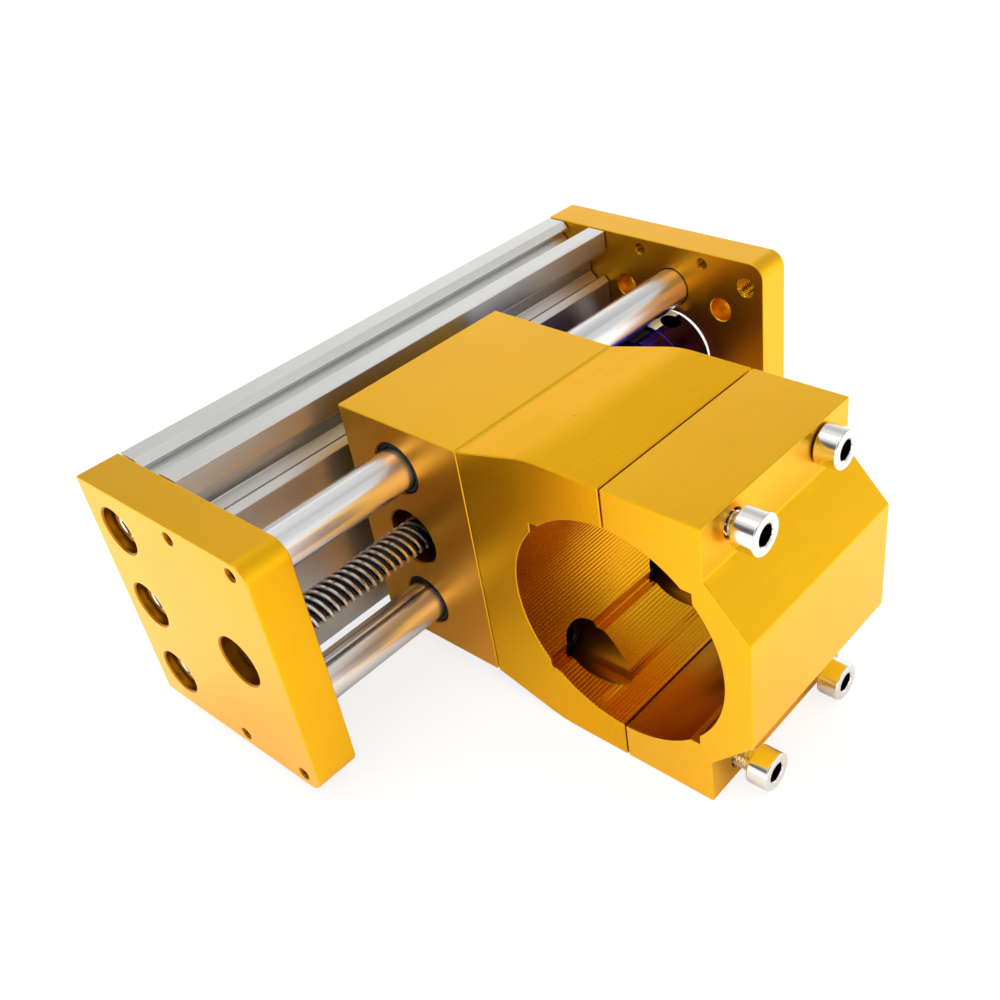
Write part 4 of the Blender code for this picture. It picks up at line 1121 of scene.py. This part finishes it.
class ZAXIS_OT_bearing(bpy.types.Operator):
    """Make the ball bearing of the lead screw"""
    bl_idname = "zaxis.bearing"
    bl_label = "Screw Bearing"

    def execute(self, context):
        finishes = context.scene.zaxis_finishes
        steel = bearing_steel(finishes)
        lowest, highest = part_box("bearing_outer_ring")
        start = on_axis(lowest.x, "bearing_outer_ring")
        width, rim = highest.x - lowest.x, (highest.z - lowest.z) / 2
        inner = size("bearing_inner_ring").z / 2
        bore, lip, race, shield = 4.2 * MM, inner + SEAT_GAP, 6.7 * MM, 0.5 * MM
        outer = turned("bearing_race_outer", [
            (0.0, rim), (width, rim), (width, lip), (width - shield, lip), (width - shield, race),
            (shield, race), (shield, lip), (0.0, lip)], start, ALONG, ring=True)
        settled(shaded(broken(outer, 0.12 * MM, 2), steel), "bearing_steel", "bearing_outer_ring")
        ring = turned("bearing_race_inner", [(0.0, bore), (width, bore), (width, inner), (0.0, inner)],
                      start, ALONG, ring=True)
        settled(shaded(broken(ring, 0.15 * MM), steel), "bearing_steel", "bearing_inner_ring")
        balls = grown("bearing_ball_row", tree_named("Ball Row", make_ball_tree), {
            "Count": 9, "Circle Radius": (inner + race) / 2, "Ball Radius": (race - inner) / 2 - 0.1 * MM,
            "Material": steel})
        turned_to(balls, start + ALONG * width / 2, ALONG)
        balls.data.shade_smooth()
        settled(balls, "bearing_steel", "bearing_balls")
        return {"FINISHED"}


class ZAXIS_OT_plate_screws(bpy.types.Operator):
    """Make the six screws that hold the plates to the profile"""
    bl_idname = "zaxis.plate_screws"
    bl_label = "Plate Screws"

    def execute(self, context):
        sizes, finishes = context.scene.zaxis_screws, context.scene.zaxis_finishes
        for end, facing in (("idle", ALONG), ("motor", -ALONG)):
            nodes = numbered(f"profile_screw_{end}", 3)
            head = low(nodes[0]).x if facing.x > 0 else high(nodes[0]).x
            seat = head + facing.x * sizes.wide_height
            shape = wide_screw(sizes, size(nodes[0]).x - sizes.wide_height)
            driven(f"plate_screws_{end}", shape, [on_axis(seat, node) for node in nodes], facing,
                   nickel(finishes), nodes, black_steel(finishes))
        return {"FINISHED"}


class ZAXIS_OT_carriage(bpy.types.Operator):
    """Make the carriage block and its four bushes"""
    bl_idname = "zaxis.carriage"
    bl_label = "Carriage"

    def execute(self, context):
        sizes, finishes = context.scene.zaxis_drive, context.scene.zaxis_finishes
        plates, clamp = context.scene.zaxis_plates, context.scene.zaxis_clamp
        lowest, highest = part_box("carriage_block")
        half = (highest.z - lowest.z) / 2
        back, front = Y_BACK - highest.y, Y_BACK - lowest.y
        cut = 0.4 * MM
        outline = [(back, -half), (front - cut, -half), (front, cut - half), (front, half - cut),
                   (front - cut, half), (back, half)]
        block = broken(prism("carriage", outline, CARRIAGE_START, CARRIAGE_END), plates.edge)
        cutters = []
        for node in RODS:
            across = middle(node).z - Z_MIDDLE
            cutters.append(hole(f"{node}_bore", at(CARRIAGE_START, ROD_PLANE, across), ALONG, sizes.bush_hole,
                                CARRIAGE_END - CARRIAGE_START, plates.rim, through=True, facets=ROUND_FACETS))
        cutters.append(stepped_hole("nut_recess", at(CARRIAGE_END, ROD_PLANE), -ALONG, sizes.nut_recess,
                                    sizes.nut_recess_depth, sizes.tunnel,
                                    CARRIAGE_END - CARRIAGE_START + OVERCUT, plates.rim))
        cutters.append(turned("tunnel_rim", countersink(sizes.tunnel / 2, plates.rim, plates.rim),
                              at(CARRIAGE_START, ROD_PLANE), ALONG))
        for place in mount_places(clamp, CARRIAGE_FRONT):
            cutters.append(hole("mount_thread", place, -FORWARD, M5_CUT, MOUNT_THREAD_DEPTH, plates.rim))
        floor = high("carriage_block").x - sizes.nut_recess_depth
        for node in numbered("nut_screw", 4):
            cutters.append(rod("nut_thread", on_axis(floor + OVERCUT, node), -ALONG, M3_CUT_RADIUS,
                               NUT_THREAD_DEPTH))
        block.data.materials.append(gold(finishes))
        carved(block, *cutters, inside=gold(finishes, "gold_hollow"))
        # The carriage's two end faces get painted shade
        for plane in (lowest.x, highest.x):
            painted(block, gold(finishes, "gold_inner"), across_rods(plane))
        # Painted highlight along the carriage's front chamfers
        painted(block, gold(finishes, "gold_edge"), front_edges)
        settled(shaded(block), "gold_anodised", "carriage_block")
        black = polymer_material("bush_polymer", tuple(finishes.polymer), 0.6)
        for place in ("upper_near", "upper_far", "lower_near", "lower_far"):
            node = f"rod_bush_{place}"
            start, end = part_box(node)
            radius, bore = (end.z - start.z) / 2, size("guide_rod_upper").z / 2 + SEAT_GAP
            width = end.x - start.x
            bush = turned(f"bush_{place}", [(0.0, bore), (width, bore), (width, radius), (0.0, radius)],
                          on_axis(start.x, node), ALONG, ring=True)
            settled(shaded(broken(bush, 0.2 * MM), black), "bush_polymer", node)
        return {"FINISHED"}


class ZAXIS_OT_lead_nut(bpy.types.Operator):
    """Make the flanged brass nut and its four screws"""
    bl_idname = "zaxis.lead_nut"
    bl_label = "Lead Screw Nut"

    def execute(self, context):
        drive, sizes = context.scene.zaxis_drive, context.scene.zaxis_screws
        finishes = context.scene.zaxis_finishes
        lowest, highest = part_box("lead_nut")
        start = on_axis(lowest.x, "lead_nut")
        length, flange = highest.x - lowest.x, (highest.z - lowest.z) / 2
        bore, body = drive.screw / 2 + SEAT_GAP, drive.nut_body / 2
        nodes = numbered("nut_screw", 4)
        seat = high(nodes[0]).x - sizes.low_height
        face = seat - SEAT_GAP - start.x
        under = face - drive.nut_flange
        outline = [(length, bore), (length, body), (face, body), (face, flange), (under, flange),
                   (under, body), (0.0, body), (0.0, bore)]
        nut = broken(turned("brass_nut", outline, start, ALONG, ring=True), 0.25 * MM)
        holes = [rod("nut_hole", on_axis(seat + OVERCUT, node), -ALONG, M3_CUT_RADIUS,
                     drive.nut_flange + 2 * OVERCUT) for node in nodes]
        brass = metal_material("nut_brass", tuple(finishes.brass), 0.22, stretch=ROUND_MARKS, scale=1500.0)
        settled(shaded(carved(nut, *holes), brass), "nut_brass", "lead_nut")
        shape = cap_screw_shape("low_screw", sizes.low_head, sizes.low_height, sizes.low_key, M3,
                                sizes.low_pitch, size(nodes[0]).x - sizes.low_height, 0.25 * MM)
        driven("nut_screws", shape, [on_axis(seat, node) for node in nodes], -ALONG, nickel(finishes), nodes,
               black_steel(finishes))
        return {"FINISHED"}


def mount_places(clamp, forward):
    """Places of the four screws between rear jaw and carriage, at a distance from the back."""
    half_x, half_z = clamp.screw_spacing / 2, clamp.mount_span / 2
    return [at(CARRIAGE_MIDDLE + x, forward, z) for x in (-half_x, half_x) for z in (half_z, -half_z)]


def clamp_places(clamp, forward):
    """Places of the four clamp screws, by name, at a distance from the back."""
    half_x, half_z = clamp.screw_spacing / 2, clamp.screw_span / 2
    return {f"{side}_{level}": at(CARRIAGE_MIDDLE + x, forward, z)
            for side, x in (("near", -half_x), ("far", half_x))
            for level, z in (("upper", half_z), ("lower", -half_z))}


def bore_outline(clamp, first, last, milled=False):
    """The bore from one angle to another, with the corner reliefs of a square. Angle 0 points
    forward and 90 degrees points up. A milled part keeps a low ridge between the cutter's passes."""
    radius, corner = clamp.bore / 2, clamp.relief / 2
    reach = math.asin(corner / radius)
    spare = 1.5 * clamp.edge / radius
    step = clamp.pass_width / 4 / radius if milled else math.tau / BORE_FACETS
    points = [(first, radius), (last, radius)]
    for number in range(math.ceil((first - math.pi) / step), math.floor((last - math.pi) / step) + 1):
        angle = math.pi + number * step
        quarter = angle % (math.pi / 2)
        from_end = min(angle - first, last - angle)
        if from_end > spare and not math.pi / 2 - reach - spare <= quarter <= reach + spare:
            ridge = clamp.pass_height / 2 * (1 - abs(math.sin(math.pi * number / 4))) if milled else 0.0
            points.append((angle, radius - ridge))
    for diagonal in (math.pi / 4 * odd for odd in (-3, -1, 1, 3, 5)):
        if min(first, last) < diagonal < max(first, last):
            offset = reach - math.pi / 4
            points += [(diagonal - offset, radius), (diagonal, corner * math.sqrt(2)),
                       (diagonal + offset, radius)]
    points.sort()
    return [(clamp.bore_forward + length * math.cos(angle), length * math.sin(angle))
            for angle, length in points]


def flank_outline(clamp):
    """Upper flank of the rear jaw: a slope that a large radius turns level."""
    back = Y_BACK - high("rear_jaw").y
    start, level = size("carriage_block").z / 2, size("rear_jaw").z / 2
    slope = math.atan2(level - start, clamp.flank_run)
    turn = back + clamp.flank_run + clamp.flank_radius * math.tan(slope / 2)
    steps = 16
    points = [(back, start)]
    for step in range(steps + 1):
        angle = slope * (1 - step / steps)
        points.append((turn - clamp.flank_radius * math.sin(angle),
                       level - clamp.flank_radius * (1 - math.cos(angle))))
    return points


def in_bore(clamp):
    """A test for faces of the spindle bore."""
    centre = at(0.0, clamp.bore_forward)

    def test(place, normal):
        offset = Vector((0.0, place.y - centre.y, place.z - centre.z))
        return offset.length < clamp.bore / 2 + 2.2 * MM and normal.dot(offset) < -0.5 * offset.length

    return test


class ZAXIS_OT_rear_jaw(bpy.types.Operator):
    """Make the half clamp that is bolted to the carriage"""
    bl_idname = "zaxis.rear_jaw"
    bl_label = "Rear Jaw"

    def execute(self, context):
        clamp, finishes = context.scene.zaxis_clamp, context.scene.zaxis_finishes
        plates = context.scene.zaxis_plates
        split = clamp.bore_forward - clamp.split / 2
        edge = math.asin(clamp.split / clamp.bore)
        upper = [*flank_outline(clamp), (split, size("rear_jaw").z / 2)]
        lower = mirrored(upper)
        arc = bore_outline(clamp, math.pi / 2 + edge, 3 * math.pi / 2 - edge, milled=True)
        jaw = broken(prism("clamp_rear", upper + arc + lower, CARRIAGE_START, CARRIAGE_END), clamp.edge)
        jaw.data.materials.append(gold(finishes, "gold_rough_milled"))
        painted(jaw, gold(finishes, "gold_pass_milled", bore=clamp), in_bore(clamp))
        cutters = [hole("clamp_thread", place, -FORWARD, M5_CUT, clamp.grip, plates.rim)
                   for place in clamp_places(clamp, split).values()]
        cutters += [stepped_hole("mount_bore", place, -FORWARD, clamp.mount_bore, split - clamp.mount_seat,
                                 M5_PASS, split - CARRIAGE_FRONT + OVERCUT, 0.0)
                    for place in mount_places(clamp, split)]
        carved(jaw, *cutters, inside=gold(finishes, "gold_hollow"))
        settled(shaded(jaw), "gold_anodised", "rear_jaw")
        return {"FINISHED"}


class ZAXIS_OT_front_jaw(bpy.types.Operator):
    """Make the loose half clamp, stepped down for its screw heads"""
    bl_idname = "zaxis.front_jaw"
    bl_label = "Front Jaw"

    def execute(self, context):
        clamp, finishes = context.scene.zaxis_clamp, context.scene.zaxis_finishes
        plates = context.scene.zaxis_plates
        split = clamp.bore_forward + clamp.split / 2
        edge = math.asin(clamp.split / clamp.bore)
        half = size("front_jaw").z / 2
        seat_outer, seat_inner = (clamp.seat_forward, half), (clamp.seat_forward, clamp.seat_inner)
        front = (Y_BACK - low("front_jaw").y, clamp.front_half)
        fillet = rounded_corner(seat_inner, seat_outer, front, clamp.seat_fillet)
        upper = [(split, half), seat_outer, *fillet, front]
        lower = mirrored(upper)
        arc = bore_outline(clamp, -math.pi / 2 + edge, math.pi / 2 - edge)
        jaw = broken(prism("clamp_front", upper + lower + arc, CARRIAGE_START, CARRIAGE_END), clamp.edge)
        cutters = [hole("clamp_hole", place, -FORWARD, M5_PASS, clamp.seat_forward - split, plates.rim,
                        through=True) for place in clamp_places(clamp, clamp.seat_forward).values()]
        jaw.data.materials.append(gold(finishes, "gold_milled"))
        painted(jaw, gold(finishes, "gold_bored"), in_bore(clamp))
        carved(jaw, *cutters, inside=gold(finishes, "gold_hollow"))
        settled(shaded(jaw), "gold_anodised", "front_jaw")
        return {"FINISHED"}


class ZAXIS_OT_clamp_screws(bpy.types.Operator):
    """Make the four screws that close the clamp, each on its own body"""
    bl_idname = "zaxis.clamp_screws"
    bl_label = "Clamp Screws"

    def execute(self, context):
        clamp, sizes = context.scene.zaxis_clamp, context.scene.zaxis_screws
        finishes = context.scene.zaxis_finishes
        for name in clamp_places(clamp, clamp.seat_forward):
            node = f"clamp_screw_{name}"
            lowest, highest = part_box(node)
            shape = wide_screw(sizes, highest.y - lowest.y - sizes.wide_height)
            seat = Vector((middle(node).x, lowest.y + sizes.wide_height, middle(node).z))
            driven(f"cap_screw_{name}", shape, [seat], -FORWARD, nickel(finishes), [node],
                   black_steel(finishes))
        return {"FINISHED"}


class ZAXIS_OT_mount_screws(bpy.types.Operator):
    """Make the four screws that hold the rear jaw to the carriage"""
    bl_idname = "zaxis.mount_screws"
    bl_label = "Mounting Screws"

    def execute(self, context):
        sizes, finishes = context.scene.zaxis_screws, context.scene.zaxis_finishes
        nodes = numbered("jaw_mount_screw", 4)
        shape = wide_screw(sizes, size(nodes[0]).y - sizes.wide_height)
        places = [Vector((middle(node).x, low(node).y + sizes.wide_height, middle(node).z)) for node in nodes]
        driven("mount_screws", shape, places, -FORWARD, black_steel(finishes), nodes, black_steel(finishes))
        return {"FINISHED"}


# Degrees from straight up, towards the front, where the painted highlight strip on a hub starts and ends
STRIP_START, STRIP_END = -30, 14


def painted_highlight_strip(centre, radius, reach):
    """A test for the strip along a hub's top that gets a painted highlight, a pale colour in place of the
    bright room's reflection.
    """
    def test(place, normal):
        sideways, upward = centre.y - place.y, place.z - centre.z
        turn = math.degrees(math.atan2(sideways, upward))
        return (STRIP_START < turn < STRIP_END and math.hypot(sideways, upward) > radius
                and abs(place.x - centre.x) < reach)

    return test


def ring_points(radius, start, end, steps):
    """Points of an arc about the screw's axis; angle 0 is forward."""
    angles = [start + (end - start) * step / steps for step in range(steps + 1)]
    return [(ROD_PLANE + radius * math.cos(angle), radius * math.sin(angle)) for angle in angles]


class ZAXIS_OT_coupling(bpy.types.Operator):
    """Make the jaw coupling: two hubs, the spider between them and two set screws"""
    bl_idname = "zaxis.coupling"
    bl_label = "Jaw Coupling"

    def execute(self, context):
        drive, sizes = context.scene.zaxis_drive, context.scene.zaxis_screws
        finishes = context.scene.zaxis_finishes
        blue = metal_material("coupling_blue", tuple(finishes.blue), 0.12, stretch=ROUND_MARKS, scale=1800.0,
                              edge=(0.30, 0.22, 1.0))
        # A pale diffuse colour: a painted highlight for the strip along the motor hub's top
        bare = polymer_material("coupling_bare", (0.95, 0.88, 0.55), 0.4)
        lean = Matrix.Rotation(drive.set_tilt, 3, ALONG)
        hubs = (("screw_side", ALONG, drive.screw, 0.0), ("motor_side", -ALONG, drive.shaft, math.pi / 3))
        for side, direction, bore, first_jaw in hubs:
            node = f"coupling_hub_{side}"
            end = low(node).x if direction.x > 0 else high(node).x
            centre = on_axis(end, "lead_screw")
            radius, inner = drive.hub_wide / 2, bore / 2 + SEAT_GAP
            outline = [(0.0, inner), (0.0, radius), (drive.hub, radius), (drive.hub, inner)]
            hub = turned(f"hub_{side}", outline, centre, direction, WIDE_FACETS, ring=True)
            broken(hub, 0.45 * MM)
            jaws = []
            steps = sorted(end - X_START + direction.x * reach
                           for reach in (drive.hub - OVERCUT, drive.hub + drive.jaw))
            for number in range(3):
                turn = first_jaw + math.tau * number / 3
                outer = ring_points(radius - 0.1 * MM, turn - drive.jaw_half, turn + drive.jaw_half, 12)
                inside = ring_points(drive.jaw_bore / 2, turn + drive.jaw_half, turn - drive.jaw_half, 12)
                jaws.append(broken(prism(f"{node}_jaw_{number}", outer + inside, *steps), 0.3 * MM))
            outward = lean @ ACROSS
            row = centre + direction * drive.set_inset
            mouth = row + outward * (radius - 0.02 * MM)
            screw_hole = hole(f"{node}_hole", mouth, -outward, M5_CUT, radius - 2 * MM, M5_RIM)
            carved(hub, screw_hole, joined=jaws)
            for metal in (blue, bare):
                hub.data.materials.append(metal)
            # Only the motor side's hub gets the painted highlight strip
            if side == "motor_side":
                painted(hub, bare, painted_highlight_strip(centre, radius - 0.6 * MM, drive.hub - 0.5 * MM))
            settled(shaded(hub), "blue_anodised", node)
            length = 6.0 * MM
            shape = set_screw_shape(f"set_{side}", sizes.set_key, M5, M5_PITCH, length)
            top = row + outward * (bore / 2 + JOINT_GAP + length)
            driven(f"set_screw_{side}", shape, [top], -outward, black_steel(finishes), [f"{node}_set_screw"])
        self.make_spider(drive, finishes)
        return {"FINISHED"}

    def make_spider(self, drive, finishes):
        """The soft insert: a ring with one leg between each two jaws."""
        start, end = ends_along("coupling_spider")
        jaws = 6
        core = drive.jaw_bore / 2 - JOINT_GAP
        half = math.tau / jaws / 2 - drive.jaw_half - JOINT_GAP / drive.jaw_bore * 2
        outline = []
        for number in range(jaws):
            turn = math.tau * (number + 0.5) / jaws
            outline += ring_points(12.0 * MM, turn - half, turn + half, 8)
            outline += ring_points(core, turn + half, turn - half + math.tau / jaws, 12)
        spider = broken(prism("spider", outline, start, end), 0.25 * MM)
        bore = rod("spider_hole", at(start - OVERCUT, ROD_PLANE), ALONG, 3 * MM, end - start + 2 * OVERCUT,
                   ROUND_FACETS)
        soft = polymer_material("spider_polymer", tuple(finishes.polymer), 0.5)
        settled(shaded(carved(spider, bore), soft), "spider_polymer", "coupling_spider")


class ZAXIS_OT_stage(bpy.types.Operator):
    """Make the white floor and wall, the soft lights and the camera"""
    bl_idname = "zaxis.stage"
    bl_label = "Stage"

    def execute(self, context):
        settings = context.scene.zaxis_stage
        self.make_floor(settings)
        self.make_world(context, settings)
        centre = Vector(settings.target)
        soft_box("light_key", Vector((-0.40, 0.30, 1.50)), centre, 0.7, 3.0)
        self.make_camera(context, settings)
        context.scene.view_settings.view_transform = "Standard"
        return {"FINISHED"}

    def make_floor(self, settings):
        """A round floor whose rim curves up into a low wall, as white as the background."""
        bend, radius, height = 0.25, settings.floor_radius, settings.wall_height
        outline = [(0.0, 0.0)]
        for step in range(13):
            angle = math.pi / 2 * step / 12
            outline.append((bend * (1 - math.cos(angle)), radius - bend + bend * math.sin(angle)))
        outline.append((height, radius))
        floor = turned("floor", outline, Vector(), ACROSS, WIDE_FACETS)
        floor.data.flip_normals()
        floor.data.shade_smooth()
        material = bpy.data.materials.new("floor_white")
        material.use_nodes = True
        tree = material.node_tree
        tree.nodes.clear()
        seen = add_node(tree, "ShaderNodeLightPath").outputs["Is Camera Ray"]
        tone = between(tree, seen, 0.86, settings.shadow)
        paper = add_node(tree, "ShaderNodeBsdfDiffuse", {"Color": add_node(tree, "ShaderNodeCombineColor", {
            0: tone, 1: tone, 2: tone}).outputs[0]})
        glow = add_node(tree, "ShaderNodeEmission", {
            "Color": (1.0, 1.0, 1.0, 1.0), "Strength": between(tree, seen, 0.0, 1.0 - settings.shadow)})
        both = add_node(tree, "ShaderNodeAddShader", {0: paper.outputs[0], 1: glow.outputs[0]})
        add_node(tree, "ShaderNodeOutputMaterial", {"Surface": both.outputs[0]})
        floor.data.materials.append(material)

    def make_world(self, context, settings):
        """White where the camera looks past the wall, and a plain soft light elsewhere."""
        world = bpy.data.worlds.new("room")
        world.use_nodes = True
        tree = world.node_tree
        path = add_node(tree, "ShaderNodeLightPath").outputs
        facing = add_node(tree, "ShaderNodeTexCoord").outputs["Generated"]
        seen = settings.room
        for direction, rim, core, left in DARK_SIDES:
            nearness = add_node(tree, "ShaderNodeVectorMath", {0: facing, 1: direction},
                                operation="DOT_PRODUCT")
            share = add_node(tree, "ShaderNodeMapRange", {
                "Value": nearness.outputs["Value"], "From Min": rim, "From Max": core, "To Min": 1.0,
                "To Max": left}, interpolation_type="SMOOTHSTEP")
            seen = calculate(tree, "MULTIPLY", seen, share.outputs[0])
        soft = calculate(tree, "MULTIPLY", path["Is Diffuse Ray"], settings.tent)
        strength = calculate(tree, "MAXIMUM", calculate(tree, "MAXIMUM", seen, soft), path["Is Camera Ray"])
        background = tree.nodes["Background"]
        background.inputs["Color"].default_value = (1.0, 1.0, 1.0, 1.0)
        tree.links.new(strength, background.inputs["Strength"])
        context.scene.world = world

    def make_camera(self, context, settings):
        """The camera at the photograph's angle."""
        data = bpy.data.cameras.new("camera")
        data.sensor_width = 36.0
        data.lens = settings.lens
        data.shift_x, data.shift_y = settings.shift_x, settings.shift_y
        data.clip_start, data.clip_end = 0.01, 20.0
        camera = linked("camera", data)
        flat = math.cos(settings.elevation)
        back = Vector((math.sin(settings.azimuth) * flat, -math.cos(settings.azimuth) * flat,
                       math.sin(settings.elevation)))
        camera.location = Vector(settings.target) + back * settings.distance
        camera.rotation_mode = "QUATERNION"
        camera.rotation_quaternion = back.to_track_quat("Z", "Y") @ Quaternion((0, 0, 1), settings.roll)
        context.scene.camera = camera


def soft_box(name, place, target, width, power):
    """A square soft light that faces a target."""
    data = bpy.data.lights.new(name, "AREA")
    data.shape = "SQUARE"
    data.size = width
    data.energy = power
    lamp = linked(name, data)
    lamp.location = place
    lamp.rotation_mode = "QUATERNION"
    lamp.rotation_quaternion = (place - target).to_track_quat("Z", "Y")


OPERATORS = (
    ZAXIS_OT_profile, ZAXIS_OT_idle_plate, ZAXIS_OT_motor_plate, ZAXIS_OT_guide_rods, ZAXIS_OT_lead_screw,
    ZAXIS_OT_bearing, ZAXIS_OT_plate_screws, ZAXIS_OT_carriage, ZAXIS_OT_lead_nut, ZAXIS_OT_rear_jaw,
    ZAXIS_OT_front_jaw, ZAXIS_OT_clamp_screws, ZAXIS_OT_mount_screws, ZAXIS_OT_coupling, ZAXIS_OT_stage,
)

SETTINGS = {
    "zaxis_profile": ProfileSizes, "zaxis_plates": PlateSizes, "zaxis_drive": DriveSizes,
    "zaxis_clamp": ClampSizes, "zaxis_screws": ScrewSizes, "zaxis_finishes": Finishes,
    "zaxis_stage": StageSettings,
}


class ZAXIS_PT_module(bpy.types.Panel):
    """Lists the operators that make the module, and its sizes"""
    bl_idname = "ZAXIS_PT_module"
    bl_label = "Z-Axis Module"
    bl_space_type = "VIEW_3D"
    bl_region_type = "UI"
    bl_category = "Z Axis"

    def draw(self, context):
        layout = self.layout
        for operator in OPERATORS:
            layout.operator(operator.bl_idname)
        for key in SETTINGS:
            group = getattr(context.scene, key)
            box = layout.box()
            for name in group.__annotations__:
                box.prop(group, name)


def register():
    for kind in (*SETTINGS.values(), *OPERATORS, ZAXIS_PT_module):
        bpy.utils.register_class(kind)
    for key, kind in SETTINGS.items():
        setattr(bpy.types.Scene, key, PointerProperty(type=kind))


def unregister():
    for key in SETTINGS:
        delattr(bpy.types.Scene, key)
    for kind in reversed((*SETTINGS.values(), *OPERATORS, ZAXIS_PT_module)):
        bpy.utils.unregister_class(kind)


def main():
    """Make every piece and the stage."""
    register()
    for operator in OPERATORS:
        group, name = operator.bl_idname.split(".")
        getattr(getattr(bpy.ops, group), name)()


if __name__ == "__main__":
    main()
